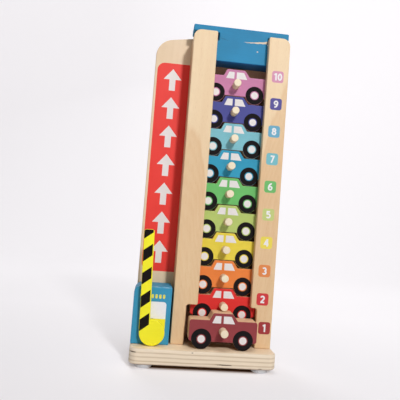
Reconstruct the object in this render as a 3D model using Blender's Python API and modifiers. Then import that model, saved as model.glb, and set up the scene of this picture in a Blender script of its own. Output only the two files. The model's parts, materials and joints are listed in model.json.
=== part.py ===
"""Toy parking garage: a wooden tower on a plywood base that holds ten car-shaped boards in a channel
behind a slotted front, with a lift-out roof block, a ticket booth and a swinging gate arm.

Metres, +Z up. The front faces -Y and +X is to the right. The origin is on the floor, under the middle
of everything from the pulled-out car's peg to the base's rear edge."""

import math

import bmesh
import bpy
from mathutils import Matrix, Vector

MM = 0.001

# Cars: heights are above the wheels' lowest point
CAR_COUNT = 10
CAR_THICK = 21.0 * MM
WHEEL_RADIUS = 10.2 * MM
WHEELBASE = 43.0 * MM
NOSE_OVERHANG = 2.9 * MM
TAIL_OVERHANG = 4.1 * MM
BELLY_HEIGHT = 7.7 * MM
HOOD_HEIGHT = 29.5 * MM
CABIN_HEADROOM = 0.7 * MM
CABIN_FRONT_SETBACK = 0.9 * MM
CABIN_REAR_SETBACK = 1.7 * MM
WINDSCREEN_SLOPE = 3.6 * MM
REAR_SLOPE = 5.4 * MM
CAR_CORNER_RADIUS = 2.6 * MM
CABIN_CORNER_RADIUS = 2.2 * MM
CAR_EDGE_ROUND = 0.8 * MM
PEG_DIAMETER = 8.0 * MM
PEG_HEIGHT = 18.8 * MM
PEG_REACH = 13.0 * MM
PEG_SOCKET_DEPTH = 10.0 * MM
PEG_END_ROUND = 0.8 * MM
CAR_1_CLEAR_BY = 2.3 * MM

# Play round a car in the channel, and where each car, from the bottom up, stands in its end play:
# -1 is hard left, 0 the middle and 1 hard right
CAR_FRONT_PLAY = 0.8 * MM
CAR_REAR_PLAY = 0.6 * MM
CAR_END_PLAY = 6.0 * MM
CAR_STANDS = (-0.23, 0.33, -0.13, -0.33, -0.30, -0.47, -0.67, -0.30, -0.67, -0.70)
STACK_HEADROOM = 7.7 * MM

# Tower boards: the bars beside the channel, the posts' lips in front of it, the exit and the back
SIDE_BAR_WIDTH = 14.8 * MM
SLOT_LIP_LEFT = 10.9 * MM
SLOT_LIP_RIGHT = 8.7 * MM
SLOT_CORNER_RADIUS = 1.6 * MM
EXIT_HEADROOM = 5.2 * MM
EXIT_REVEAL_LEFT = 1.0 * MM
EXIT_LIP_RIGHT = 2.2 * MM
EXIT_CORNER_RADIUS = 3.0 * MM
POST_THICK = 8.0 * MM
POST_TOP_STEP = 1.5 * MM
POST_CORNER_RADIUS = 8.5 * MM
BOARD_EDGE_ROUND = 0.9 * MM
BACK_BOARD_THICK = 8.5 * MM
WING_INSET = 2.0 * MM
WING_DROP = 6.4 * MM
WING_CORNER_RADIUS = 20.0 * MM

# Roof block: a bar on the side bars' tops, a neck, and a lower block inside the channel
ROOF_BAR_THICK = 7.1 * MM
ROOF_KERF_LEFT = 13.1 * MM
ROOF_KERF_RIGHT = 8.2 * MM
ROOF_KERF_HEIGHT = 8.6 * MM
ROOF_LOWER_HEIGHT = 22.7 * MM
ROOF_SIDE_PLAY = 0.6 * MM

# Ticket booth and gate arm
BOOTH_WIDTH = 38.9 * MM
BOOTH_HEIGHT = 59.0 * MM
BOOTH_OVERHANG = 5.3 * MM
BOOTH_TOWER_GAP = 2.1 * MM
BOOTH_CORNER_RADIUS = 7.5 * MM
ARM_HUB_RADIUS = 12.9 * MM
ARM_WIDTH = 10.6 * MM
ARM_LENGTH = 104.0 * MM
ARM_THICK = 6.5 * MM
ARM_TIP_RADIUS = 2.4 * MM
ARM_EDGE_ROUND = 0.7 * MM
ARM_LEAN = math.radians(1.6)
ARM_PIVOT_FROM_BOOTH_LEFT = 21.0 * MM
ARM_HUB_CLEARANCE = 0.5 * MM
ARM_WASHER_THICK = 1.0 * MM
ARM_WASHER_DIAMETER = 17.0 * MM
PIVOT_DIAMETER = 8.0 * MM
PIVOT_SOCKET_DEPTH = 4.4 * MM
PIVOT_BORE_LENGTH = 18.0 * MM
PIVOT_RUNNING_CLEARANCE = 0.3 * MM
RETAINER_DIAMETER = 12.0 * MM
RETAINER_THICK = 1.2 * MM
RETAINER_HEAD_DIAMETER = 7.0 * MM
RETAINER_HEAD_HEIGHT = 2.6 * MM
RETAINER_SHANK_DIAMETER = 2.6 * MM
RETAINER_SHANK_LENGTH = 12.0 * MM
RETAINER_WELL_DIAMETER = 14.0 * MM

# Plywood base: how far it reaches past what stands on it, and its clear feet
BASE_THICK = 16.2 * MM
BASE_FRONT_MARGIN = 21.6 * MM
BASE_REAR_MARGIN = 27.5 * MM
BASE_RIGHT_MARGIN = 2.0 * MM
BASE_CORNER_RADIUS = 9.0 * MM
BASE_EDGE_ROUND = 2.0 * MM
FOOT_DIAMETER = 20.0 * MM
FOOT_TIP_DIAMETER = 17.0 * MM
FOOT_HEIGHT = 3.9 * MM
FOOT_BRIM_THICK = 0.64 * MM
FOOT_TIP_ROUND = 0.8 * MM
FOOT_SIDE_INSET = 15.0 * MM
FOOT_FRONT_INSET = 12.3 * MM

# Countersunk screws that come up through the base
SCREW_HEAD_DIAMETER = 7.4 * MM
SCREW_HEAD_HEIGHT = 2.8 * MM
SCREW_SHANK_DIAMETER = 3.4 * MM
SCREW_BITE = 18.6 * MM
SCREW_TIP_LENGTH = 4.0 * MM
SCREW_SUNK = 0.8 * MM
SCREW_CLEARANCE = 0.3 * MM

# Gaps between pieces that touch
SEAT_GAP = 0.3 * MM
GLUE_GAP = 0.2 * MM

# Meshing: how far a chord may stray from its arc, a turned piece's sides, and what counts as one point,
# one plane, a sharp edge to round and a sharp edge to shade
ARC_FLATNESS = 0.1 * MM
LARGEST_SAG = 0.15
ROUND_SIDES = 20
CUT_OVERLAP = 0.01 * MM
SAME_POINT = 0.001 * MM
SAME_PLANE = math.radians(0.5)
ROUNDED_EDGE = math.radians(40.0)
SHADED_EDGE = math.radians(35.0)

# Car, from midway between its wheels: the cabin stands between the wheels of the car above
CAR_NOSE = WHEELBASE / 2 + WHEEL_RADIUS + NOSE_OVERHANG
CAR_TAIL = WHEELBASE / 2 + WHEEL_RADIUS + TAIL_OVERHANG
CAR_PITCH = HOOD_HEIGHT + SEAT_GAP
CABIN_TOP = CAR_PITCH + BELLY_HEIGHT - CABIN_HEADROOM
CABIN_TOP_FRONT = WHEELBASE / 2 - WHEEL_RADIUS - CABIN_FRONT_SETBACK
CABIN_TOP_REAR = WHEELBASE / 2 - WHEEL_RADIUS - CABIN_REAR_SETBACK
CABIN_FOOT_FRONT = CABIN_TOP_FRONT + WINDSCREEN_SLOPE
CABIN_FOOT_REAR = CABIN_TOP_REAR + REAR_SLOPE
CAR_1_PULLED_OUT = CAR_THICK + CAR_1_CLEAR_BY

# Widths: the car sets the channel, the channel the tower, and tower and booth the base
CHANNEL_WIDTH = CAR_NOSE + CAR_TAIL + CAR_END_PLAY
TOWER_WIDTH = CHANNEL_WIDTH + 2 * SIDE_BAR_WIDTH
BASE_LENGTH = BOOTH_WIDTH + BOOTH_TOWER_GAP + TOWER_WIDTH + BASE_RIGHT_MARGIN
BASE_LEFT = -BASE_LENGTH / 2
BOOTH_LEFT = BASE_LEFT
BOOTH_RIGHT = BOOTH_LEFT + BOOTH_WIDTH
TOWER_LEFT = BOOTH_RIGHT + BOOTH_TOWER_GAP
TOWER_RIGHT = TOWER_LEFT + TOWER_WIDTH
CHANNEL_LEFT = TOWER_LEFT + SIDE_BAR_WIDTH
CHANNEL_RIGHT = CHANNEL_LEFT + CHANNEL_WIDTH
CHANNEL_MIDDLE = (CHANNEL_LEFT + CHANNEL_RIGHT) / 2
WING_LEFT = BASE_LEFT + WING_INSET

# Depths: the posts' front plane is placed so that the whole toy is centred on the origin
CHANNEL_DEPTH = CAR_FRONT_PLAY + CAR_THICK + CAR_REAR_PLAY
TOWER_DEPTH = POST_THICK + CHANNEL_DEPTH + BACK_BOARD_THICK
BASE_DEPTH = BASE_FRONT_MARGIN + TOWER_DEPTH + BASE_REAR_MARGIN
FRONT_REACH = max(CAR_1_PULLED_OUT + PEG_REACH - POST_THICK - CAR_FRONT_PLAY, BASE_FRONT_MARGIN)
REAR_REACH = TOWER_DEPTH + BASE_REAR_MARGIN
POST_FRONT = (FRONT_REACH - REAR_REACH) / 2
BASE_FRONT = POST_FRONT - BASE_FRONT_MARGIN
CHANNEL_FRONT = POST_FRONT + POST_THICK
CHANNEL_REAR = CHANNEL_FRONT + CHANNEL_DEPTH
CAR_FRONT = CHANNEL_FRONT + CAR_FRONT_PLAY

# Heights: car 2's peg stands on car 1's cabin, each further car on the one below, the roof above all
BASE_BOTTOM = FOOT_HEIGHT + SEAT_GAP
BASE_TOP = BASE_BOTTOM + BASE_THICK
CAR_1_LEVEL = BASE_TOP + SEAT_GAP
CAR_2_LEVEL = CAR_1_LEVEL + CABIN_TOP + SEAT_GAP - (PEG_HEIGHT - PEG_DIAMETER / 2)
STACK_TOP = CAR_2_LEVEL + CAR_PITCH * (CAR_COUNT - 2) + CABIN_TOP
ROOF_BOTTOM = STACK_TOP + STACK_HEADROOM
ROOF_BAR_BOTTOM = ROOF_BOTTOM + ROOF_LOWER_HEIGHT + ROOF_KERF_HEIGHT
SIDE_BAR_TOP = ROOF_BAR_BOTTOM - SEAT_GAP
POST_TOP = SIDE_BAR_TOP - POST_TOP_STEP
EXIT_TOP = BASE_TOP + CABIN_TOP + EXIT_HEADROOM
SCREW_LENGTH = BASE_THICK - SCREW_SUNK + SCREW_BITE

# Booth and gate arm
BOOTH_FRONT = POST_FRONT - BOOTH_OVERHANG
BOOTH_REAR = CHANNEL_REAR - SEAT_GAP
BOOTH_DEPTH = BOOTH_REAR - BOOTH_FRONT
PIVOT_X = BOOTH_LEFT + ARM_PIVOT_FROM_BOOTH_LEFT
PIVOT_Z = BASE_TOP + ARM_HUB_RADIUS + ARM_HUB_CLEARANCE
ARM_BACK = BOOTH_FRONT - ARM_WASHER_THICK - 2 * SEAT_GAP
ARM_FRONT = ARM_BACK - ARM_THICK

WOOD = ((0.78, 0.62, 0.42), 0.45, 0.0)
PLY = ((0.80, 0.68, 0.50), 0.5, 0.0)
PEG_WOOD = ((0.85, 0.74, 0.55), 0.45, 0.0)
BLUE = ((0.05, 0.28, 0.46), 0.4, 0.0)
YELLOW = ((0.88, 0.80, 0.03), 0.4, 0.0)
STEEL = ((0.55, 0.55, 0.56), 0.3, 1.0)
CLEAR = ((0.86, 0.88, 0.90), 0.15, 0.0)
NYLON = ((0.85, 0.85, 0.83), 0.35, 0.0)
CAR_COLOURS = (
    (0.31, 0.05, 0.08), (0.71, 0.03, 0.03), (0.83, 0.20, 0.04), (0.75, 0.61, 0.03), (0.43, 0.63, 0.15),
    (0.09, 0.49, 0.13), (0.03, 0.22, 0.46), (0.19, 0.55, 0.63), (0.08, 0.09, 0.38), (0.63, 0.24, 0.45),
)


def start_scene():
    """Empties the file and makes one collection for the toy and one for its cutters."""
    for old in list(bpy.data.objects):
        bpy.data.objects.remove(old, do_unlink=True)
    garage = bpy.data.collections.new("toy_parking_garage")
    tools = bpy.data.collections.new("cutters")
    for group in (garage, tools):
        bpy.context.scene.collection.children.link(group)
    return garage, tools


GARAGE, CUTTERS = start_scene()


def finish_material(name, look):
    """One Principled material from a colour, a roughness and a metallic value."""
    material = bpy.data.materials.get(name)
    if material is None:
        colour, roughness, metallic = look
        material = bpy.data.materials.new(name)
        material.use_nodes = True
        shader = material.node_tree.nodes["Principled BSDF"]
        shader.inputs["Base Color"].default_value = (*colour, 1.0)
        shader.inputs["Roughness"].default_value = roughness
        shader.inputs["Metallic"].default_value = metallic
    return material


def new_piece(name, mesh, look):
    """Links a finished mesh into the toy's collection as one named piece."""
    piece = bpy.data.objects.new(name, mesh)
    piece.data.materials.append(finish_material(name + "_finish", look))
    GARAGE.objects.link(piece)
    return piece


def arc(centre, radius, start, end):
    """Points on a circle from one angle to another, whose chords stay within ARC_FLATNESS of it."""
    widest = 2 * math.acos(1 - min(ARC_FLATNESS / radius, LARGEST_SAG))
    steps = max(2, math.ceil(abs(end - start) / widest))
    turns = [start + (end - start) * step / steps for step in range(steps + 1)]
    return [(centre[0] + radius * math.cos(a), centre[1] + radius * math.sin(a)) for a in turns]


def rounded_outline(corners):
    """A closed outline through corners (u, v, radius), each turned by an arc of its own radius."""
    points = []
    count = len(corners)
    for index, (u, v, radius) in enumerate(corners):
        here = Vector((u, v))
        to_last = (Vector(corners[index - 1][:2]) - here).normalized()
        to_next = (Vector(corners[(index + 1) % count][:2]) - here).normalized()
        if radius <= 0.0:
            points.append((u, v))
            continue
        half = to_last.angle(to_next) / 2
        centre = here + (to_last + to_next).normalized() * (radius / math.sin(half))
        first = here + to_last * (radius / math.tan(half)) - centre
        last = here + to_next * (radius / math.tan(half)) - centre
        start = math.atan2(first.y, first.x)
        sweep = (math.atan2(last.y, last.x) - start + math.pi) % (2 * math.pi) - math.pi
        points += arc(centre, radius, start, start + sweep)
    return points


def outline_mesh(name, outline, thickness):
    """The mesh of a flat outline with a thickness, centred on its own plane, from a filled 2D curve."""
    curve = bpy.data.curves.new(name, "CURVE")
    curve.dimensions = "2D"
    curve.fill_mode = "BOTH"
    curve.extrude = thickness / 2
    spline = curve.splines.new("POLY")
    spline.points.add(len(outline) - 1)
    for point, (u, v) in zip(spline.points, outline):
        point.co = (u, v, 0.0, 1.0)
    spline.use_cyclic_u = True
    guide = bpy.data.objects.new(name + "_guide", curve)
    CUTTERS.objects.link(guide)
    bpy.context.view_layer.update()
    evaluated = guide.evaluated_get(bpy.context.evaluated_depsgraph_get())
    mesh = bpy.data.meshes.new_from_object(evaluated)
    bpy.data.objects.remove(guide, do_unlink=True)
    mesh.materials.clear()
    shape = bmesh.new()
    shape.from_mesh(mesh)
    bmesh.ops.remove_doubles(shape, verts=shape.verts, dist=SAME_POINT)
    bmesh.ops.dissolve_limit(shape, angle_limit=SAME_PLANE, verts=shape.verts, edges=shape.edges)
    bmesh.ops.recalc_face_normals(shape, faces=shape.faces)
    shape.to_mesh(mesh)
    shape.free()
    return mesh


def soften(piece, width, segments):
    """Rounds a piece's sharp edges with a Bevel and shades its round faces smooth."""
    bevel = piece.modifiers.new("softened_edges", "BEVEL")
    bevel.width = width
    bevel.segments = segments
    bevel.limit_method = "ANGLE"
    bevel.angle_limit = ROUNDED_EDGE
    piece.data.shade_smooth()
    piece.data.set_sharp_from_angle(angle=SHADED_EDGE)


def standing_board(name, outline, front, thickness, edge_round, look):
    """A board that faces -Y: its outline in X and Z, its front plane at a given depth."""
    mesh = outline_mesh(name, outline, thickness)
    mesh.transform(Matrix.Rotation(math.pi / 2, 4, "X"))
    mesh.transform(Matrix.Translation((0.0, front + thickness / 2, 0.0)))
    piece = new_piece(name, mesh, look)
    soften(piece, edge_round, segments=2)
    return piece


def lying_board(name, outline, bottom, thickness, edge_round, look):
    """A board that lies flat: its outline in X and Y, its underside at a given height."""
    mesh = outline_mesh(name, outline, thickness)
    mesh.transform(Matrix.Translation((0.0, 0.0, bottom + thickness / 2)))
    piece = new_piece(name, mesh, look)
    soften(piece, edge_round, segments=3)
    return piece


def rod_mesh(name, radius, length, radius_end=None):
    """A cylinder or cone from the origin along +Z."""
    mesh = bpy.data.meshes.new(name)
    shape = bmesh.new()
    end = radius if radius_end is None else radius_end
    bmesh.ops.create_cone(shape, cap_ends=True, segments=ROUND_SIDES, radius1=radius, radius2=end,
                          depth=length)
    bmesh.ops.translate(shape, verts=shape.verts, vec=(0.0, 0.0, length / 2))
    shape.to_mesh(mesh)
    shape.free()
    return mesh


def turned_piece(name, profile, place, look):
    """A turned piece from a profile of (radius, height) points, run down its outer side."""
    mesh = bpy.data.meshes.new(name)
    points = [(radius, 0.0, height) for radius, height in profile]
    mesh.from_pydata(points, [(i, i + 1) for i in range(len(points) - 1)], [])
    piece = new_piece(name, mesh, look)
    piece.matrix_world = place
    turn = piece.modifiers.new("turned", "SCREW")
    turn.steps = ROUND_SIDES
    turn.render_steps = ROUND_SIDES
    turn.use_merge_vertices = True
    turn.merge_threshold = SAME_POINT
    turn.use_smooth_shade = True
    return piece


def drill(piece, radius, length, place, radius_end=None):
    """Cuts a round hole from place along its own +Z."""
    number = sum(1 for cut in piece.modifiers if cut.type == "BOOLEAN") + 1
    name = f"{piece.name}_cutter_{number}"
    cutter = bpy.data.objects.new(name, rod_mesh(name, radius, length, radius_end))
    cutter.matrix_world = place
    cutter.hide_render = True
    cutter.display_type = "WIRE"
    CUTTERS.objects.link(cutter)
    cut = piece.modifiers.new(name, "BOOLEAN")
    cut.operation = "DIFFERENCE"
    cut.solver = "EXACT"
    cut.object = cutter


def facing_front(x, y, z):
    """A placement whose own +Z points to the front."""
    return Matrix.Translation((x, y, z)) @ Matrix.Rotation(math.pi / 2, 4, "X")


def facing_up(x, y, z):
    """A placement whose own +Z points up."""
    return Matrix.Translation((x, y, z))


def screw_places():
    """Where each base screw stands: a name, X and Y."""
    bar_y = (CHANNEL_FRONT + CHANNEL_REAR) / 2
    back_y = CHANNEL_REAR + BACK_BOARD_THICK / 2
    booth_y = (BOOTH_FRONT + BOOTH_REAR) / 2
    well = RETAINER_WELL_DIAMETER / 2
    return (
        ("bar_left", TOWER_LEFT + SIDE_BAR_WIDTH / 2, bar_y),
        ("bar_right", TOWER_RIGHT - SIDE_BAR_WIDTH / 2, bar_y),
        ("booth_left", (BOOTH_LEFT + PIVOT_X - well) / 2, booth_y),
        ("booth_right", (PIVOT_X + well + BOOTH_RIGHT) / 2, booth_y),
        ("wing", (WING_LEFT + TOWER_LEFT) / 2, back_y),
        ("back", CHANNEL_MIDDLE, back_y),
    )


def drill_for_screw(piece, x, y):
    """A pilot hole for a base screw, from below the piece to past the screw's tip."""
    start = BASE_TOP - SEAT_GAP
    length = BASE_BOTTOM + SCREW_SUNK + SCREW_LENGTH + SCREW_CLEARANCE - start
    drill(piece, SCREW_SHANK_DIAMETER / 2 + SCREW_CLEARANCE, length, facing_up(x, y, start))


def make_base():
    """The plywood base: rounded in plan, softened edges, countersunk from below for the screws."""
    rear = BASE_FRONT + BASE_DEPTH
    right = BASE_LEFT + BASE_LENGTH
    r = BASE_CORNER_RADIUS
    corners = ((BASE_LEFT, BASE_FRONT, r), (right, BASE_FRONT, r), (right, rear, r), (BASE_LEFT, rear, r))
    base = lying_board("base_plate", rounded_outline(corners), BASE_BOTTOM, BASE_THICK,
                       BASE_EDGE_ROUND, PLY)
    hole = SCREW_SHANK_DIAMETER / 2 + SCREW_CLEARANCE
    mouth = SCREW_HEAD_DIAMETER / 2 + SCREW_CLEARANCE
    past = SEAT_GAP
    for _, x, y in screw_places():
        drill(base, hole, BASE_THICK + 2 * past, facing_up(x, y, BASE_BOTTOM - past))
        drill(base, mouth, past + SCREW_SUNK, facing_up(x, y, BASE_BOTTOM - past))
        drill(base, mouth, SCREW_HEAD_HEIGHT, facing_up(x, y, BASE_BOTTOM + SCREW_SUNK - CUT_OVERLAP), hole)


def make_feet():
    """Four clear bumpers under the base's corners, wider where they meet the wood."""
    rear = BASE_FRONT + BASE_DEPTH - FOOT_FRONT_INSET
    front = BASE_FRONT + FOOT_FRONT_INSET
    left = BASE_LEFT + FOOT_SIDE_INSET
    right = BASE_LEFT + BASE_LENGTH - FOOT_SIDE_INSET
    brim = FOOT_DIAMETER / 2
    tip = arc((FOOT_TIP_DIAMETER / 2 - FOOT_TIP_ROUND, FOOT_TIP_ROUND), FOOT_TIP_ROUND, 0.0, -math.pi / 2)
    profile = [(0.0, FOOT_HEIGHT), (brim, FOOT_HEIGHT), (brim, FOOT_HEIGHT - FOOT_BRIM_THICK)]
    profile += tip + [(0.0, 0.0)]
    spots = {"front_left": (left, front), "front_right": (right, front),
             "rear_left": (left, rear), "rear_right": (right, rear)}
    for spot, (x, y) in spots.items():
        turned_piece("foot_" + spot, profile, facing_up(x, y, 0.0), CLEAR)


def make_screws():
    """Countersunk wood screws, heads down in the base, tips up in the tower and the booth."""
    head = SCREW_HEAD_DIAMETER / 2
    shank = SCREW_SHANK_DIAMETER / 2
    profile = [(0.0, SCREW_LENGTH), (shank, SCREW_LENGTH - SCREW_TIP_LENGTH), (shank, SCREW_HEAD_HEIGHT),
               (head, 0.0), (0.0, 0.0)]
    for spot, x, y in screw_places():
        place = facing_up(x, y, BASE_BOTTOM + SCREW_SUNK)
        turned_piece("base_screw_" + spot, profile, place, STEEL)


def make_posts():
    """The two front posts: a slot between them, and a wider exit opening cut into their feet."""
    foot = BASE_TOP + GLUE_GAP
    top = POST_TOP
    lintel = EXIT_TOP
    small = SLOT_CORNER_RADIUS
    slot_left = CHANNEL_LEFT + SLOT_LIP_LEFT
    slot_right = CHANNEL_RIGHT - SLOT_LIP_RIGHT
    jamb_left = CHANNEL_LEFT - EXIT_REVEAL_LEFT
    jamb_right = CHANNEL_RIGHT - EXIT_LIP_RIGHT
    left = ((TOWER_LEFT, foot, 0.0), (jamb_left, foot, 0.0), (jamb_left, lintel, EXIT_CORNER_RADIUS),
            (slot_left, lintel, small), (slot_left, top, small), (TOWER_LEFT, top, POST_CORNER_RADIUS))
    right = ((jamb_right, foot, 0.0), (TOWER_RIGHT, foot, 0.0), (TOWER_RIGHT, top, POST_CORNER_RADIUS),
             (slot_right, top, small), (slot_right, lintel, small), (jamb_right, lintel, EXIT_CORNER_RADIUS))
    for name, corners in (("front_post_left", left), ("front_post_right", right)):
        standing_board(name, rounded_outline(corners), POST_FRONT, POST_THICK, BOARD_EDGE_ROUND, WOOD)


def make_side_bars():
    """The two bars that space the posts from the back board and guide the cars' ends."""
    foot = BASE_TOP + GLUE_GAP
    top = SIDE_BAR_TOP
    r = POST_CORNER_RADIUS
    left = ((TOWER_LEFT, foot, 0.0), (CHANNEL_LEFT, foot, 0.0), (CHANNEL_LEFT, top, 0.0),
            (TOWER_LEFT, top, r))
    right = ((CHANNEL_RIGHT, foot, 0.0), (TOWER_RIGHT, foot, 0.0), (TOWER_RIGHT, top, r),
             (CHANNEL_RIGHT, top, 0.0))
    places = {spot: (x, y) for spot, x, y in screw_places()}
    for side, corners in (("left", left), ("right", right)):
        bar = standing_board("side_bar_" + side, rounded_outline(corners), CHANNEL_FRONT + GLUE_GAP,
                             CHANNEL_DEPTH - 2 * GLUE_GAP, BOARD_EDGE_ROUND / 2, WOOD)
        drill_for_screw(bar, *places["bar_" + side])


def make_back_board():
    """The back board, which reaches past the tower's left side as a wing with a big round corner."""
    foot = BASE_TOP + GLUE_GAP
    top = POST_TOP
    corners = ((WING_LEFT, foot, 0.0), (TOWER_RIGHT, foot, 0.0), (TOWER_RIGHT, top, POST_CORNER_RADIUS),
               (TOWER_LEFT, top, 0.0), (WING_LEFT, top - WING_DROP, WING_CORNER_RADIUS))
    board = standing_board("back_board", rounded_outline(corners), CHANNEL_REAR, BACK_BOARD_THICK,
                           BOARD_EDGE_ROUND, WOOD)
    places = {spot: (x, y) for spot, x, y in screw_places()}
    drill_for_screw(board, *places["wing"])
    drill_for_screw(board, *places["back"])


def make_roof():
    """The lift-out roof block: one solid with a kerf in each side between its bar and lower block. The
    left kerf is cut deeper than the right one."""
    left = CHANNEL_LEFT + ROOF_SIDE_PLAY
    right = CHANNEL_RIGHT - ROOF_SIDE_PLAY
    kerf_floor = ROOF_BOTTOM + ROOF_LOWER_HEIGHT
    kerf_top = ROOF_BAR_BOTTOM
    top = kerf_top + ROOF_BAR_THICK
    outline = [(left, ROOF_BOTTOM), (right, ROOF_BOTTOM), (right, kerf_floor),
               (right - ROOF_KERF_RIGHT, kerf_floor), (right - ROOF_KERF_RIGHT, kerf_top),
               (TOWER_RIGHT, kerf_top), (TOWER_RIGHT, top), (TOWER_LEFT, top), (TOWER_LEFT, kerf_top),
               (left + ROOF_KERF_LEFT, kerf_top), (left + ROOF_KERF_LEFT, kerf_floor), (left, kerf_floor)]
    standing_board("roof_block", outline, CAR_FRONT, CAR_THICK, BOARD_EDGE_ROUND, BLUE)


def car_outline():
    """A car seen from the side: a body with rounded ends, a cabin, and the wheels' lower rounds."""
    axle = WHEEL_RADIUS
    half = WHEELBASE / 2
    dip = axle - BELLY_HEIGHT
    lift = math.asin(dip / WHEEL_RADIUS)
    body = rounded_outline(((CAR_TAIL, BELLY_HEIGHT, CAR_CORNER_RADIUS),
                            (CAR_TAIL, HOOD_HEIGHT, CAR_CORNER_RADIUS),
                            (CABIN_FOOT_REAR, HOOD_HEIGHT, CABIN_CORNER_RADIUS / 2),
                            (CABIN_TOP_REAR, CABIN_TOP, CABIN_CORNER_RADIUS),
                            (-CABIN_TOP_FRONT, CABIN_TOP, CABIN_CORNER_RADIUS),
                            (-CABIN_FOOT_FRONT, HOOD_HEIGHT, CABIN_CORNER_RADIUS / 2),
                            (-CAR_NOSE, HOOD_HEIGHT, CAR_CORNER_RADIUS),
                            (-CAR_NOSE, BELLY_HEIGHT, CAR_CORNER_RADIUS)))
    for middle in (-half, half):
        body += arc((middle, axle), WHEEL_RADIUS, math.pi + lift, 2 * math.pi - lift)
    return body


def make_cars():
    """Ten equal cars and their pegs. Car 1 is pulled out, and the others stand in the channel."""
    outline = car_outline()
    socket = PEG_DIAMETER / 2 + GLUE_GAP
    for number in range(1, CAR_COUNT + 1):
        stand = CAR_STANDS[(number - 1) % len(CAR_STANDS)] * CAR_END_PLAY / 2
        middle = CHANNEL_MIDDLE + stand - (CAR_TAIL - CAR_NOSE) / 2
        front = CAR_FRONT - CAR_1_PULLED_OUT if number == 1 else CAR_FRONT
        level = CAR_1_LEVEL if number == 1 else CAR_2_LEVEL + CAR_PITCH * (number - 2)
        look = (CAR_COLOURS[(number - 1) % len(CAR_COLOURS)], 0.4, 0.0)
        car = standing_board(f"car_{number}", outline, 0.0, CAR_THICK, CAR_EDGE_ROUND, look)
        car.location = (middle, front, level)
        peg_z = level + PEG_HEIGHT
        root = front + PEG_SOCKET_DEPTH
        drill(car, socket, PEG_SOCKET_DEPTH + PEG_REACH, facing_front(middle, root, peg_z))
        make_peg(number, middle, root - GLUE_GAP, peg_z)


def make_peg(number, x, y, z):
    """A dowel glued into a car, with its outer end rounded."""
    radius = PEG_DIAMETER / 2
    length = PEG_SOCKET_DEPTH + PEG_REACH - GLUE_GAP
    end = arc((radius - PEG_END_ROUND, length - PEG_END_ROUND), PEG_END_ROUND, math.pi / 2, 0.0)
    profile = [(0.0, length)] + end + [(radius, 0.0), (0.0, 0.0)]
    turned_piece(f"car_peg_{number}", profile, facing_front(x, y, z), PEG_WOOD)


def make_booth():
    """The ticket booth: a block with one round top corner, bored through for the gate arm's pivot."""
    foot = BASE_TOP + GLUE_GAP
    top = BASE_TOP + BOOTH_HEIGHT
    corners = ((BOOTH_LEFT, foot, 0.0), (BOOTH_RIGHT, foot, 0.0), (BOOTH_RIGHT, top, SLOT_CORNER_RADIUS),
               (BOOTH_LEFT, top, BOOTH_CORNER_RADIUS))
    booth = standing_board("ticket_booth", rounded_outline(corners), BOOTH_FRONT, BOOTH_DEPTH,
                           BOARD_EDGE_ROUND, BLUE)
    bore = PIVOT_DIAMETER / 2 + PIVOT_RUNNING_CLEARANCE
    past = SEAT_GAP
    drill(booth, bore, PIVOT_BORE_LENGTH + 2 * past,
          facing_front(PIVOT_X, BOOTH_FRONT + PIVOT_BORE_LENGTH + past, PIVOT_Z))
    drill(booth, RETAINER_WELL_DIAMETER / 2, BOOTH_DEPTH - PIVOT_BORE_LENGTH + past,
          facing_front(PIVOT_X, BOOTH_REAR + past, PIVOT_Z))
    places = {spot: (x, y) for spot, x, y in screw_places()}
    drill_for_screw(booth, *places["booth_left"])
    drill_for_screw(booth, *places["booth_right"])


def arm_outline():
    """The gate arm about its pivot: a round hub, and a straight bar that leaves it on one side."""
    reach = ARM_LENGTH
    left = -ARM_HUB_RADIUS
    right = left + ARM_WIDTH
    rise = math.acos(right / ARM_HUB_RADIUS)
    bar = rounded_outline(((right, ARM_HUB_RADIUS, 0.0), (right, reach, ARM_TIP_RADIUS),
                           (left, reach, ARM_TIP_RADIUS), (left, ARM_HUB_RADIUS, 0.0)))
    return bar[1:] + arc((0.0, 0.0), ARM_HUB_RADIUS, math.pi, 2 * math.pi + rise)


def make_gate_arm():
    """The gate arm, raised and leaning a little to the left, with the dowel that it turns on."""
    arm = standing_board("gate_arm", arm_outline(), 0.0, ARM_THICK, ARM_EDGE_ROUND, YELLOW)
    arm.location = (PIVOT_X, ARM_FRONT, PIVOT_Z)
    arm.rotation_euler = (0.0, -ARM_LEAN, 0.0)
    drill(arm, PIVOT_DIAMETER / 2 + GLUE_GAP, PIVOT_SOCKET_DEPTH + SEAT_GAP,
          facing_front(PIVOT_X, ARM_BACK + SEAT_GAP, PIVOT_Z))
    pivot_front = ARM_BACK - PIVOT_SOCKET_DEPTH + GLUE_GAP
    pivot_rear = BOOTH_FRONT + PIVOT_BORE_LENGTH
    radius = PIVOT_DIAMETER / 2
    length = pivot_rear - pivot_front
    pilot = RETAINER_SHANK_DIAMETER / 2 + GLUE_GAP
    depth = RETAINER_SHANK_LENGTH + GLUE_GAP
    profile = [(0.0, length), (radius, length), (radius, 0.0), (pilot, 0.0), (pilot, depth), (0.0, depth)]
    turned_piece("arm_pivot_dowel", profile, facing_front(PIVOT_X, pivot_rear, PIVOT_Z), PEG_WOOD)
    ring_piece("arm_washer", ARM_WASHER_DIAMETER / 2, radius + PIVOT_RUNNING_CLEARANCE, ARM_WASHER_THICK,
               BOOTH_FRONT - SEAT_GAP)
    retainer_rear = pivot_rear + SEAT_GAP + RETAINER_THICK
    ring_piece("pivot_retainer_washer", RETAINER_DIAMETER / 2, RETAINER_SHANK_DIAMETER / 2 + SEAT_GAP,
               RETAINER_THICK, retainer_rear)
    make_retainer_screw(retainer_rear + SEAT_GAP)


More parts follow.
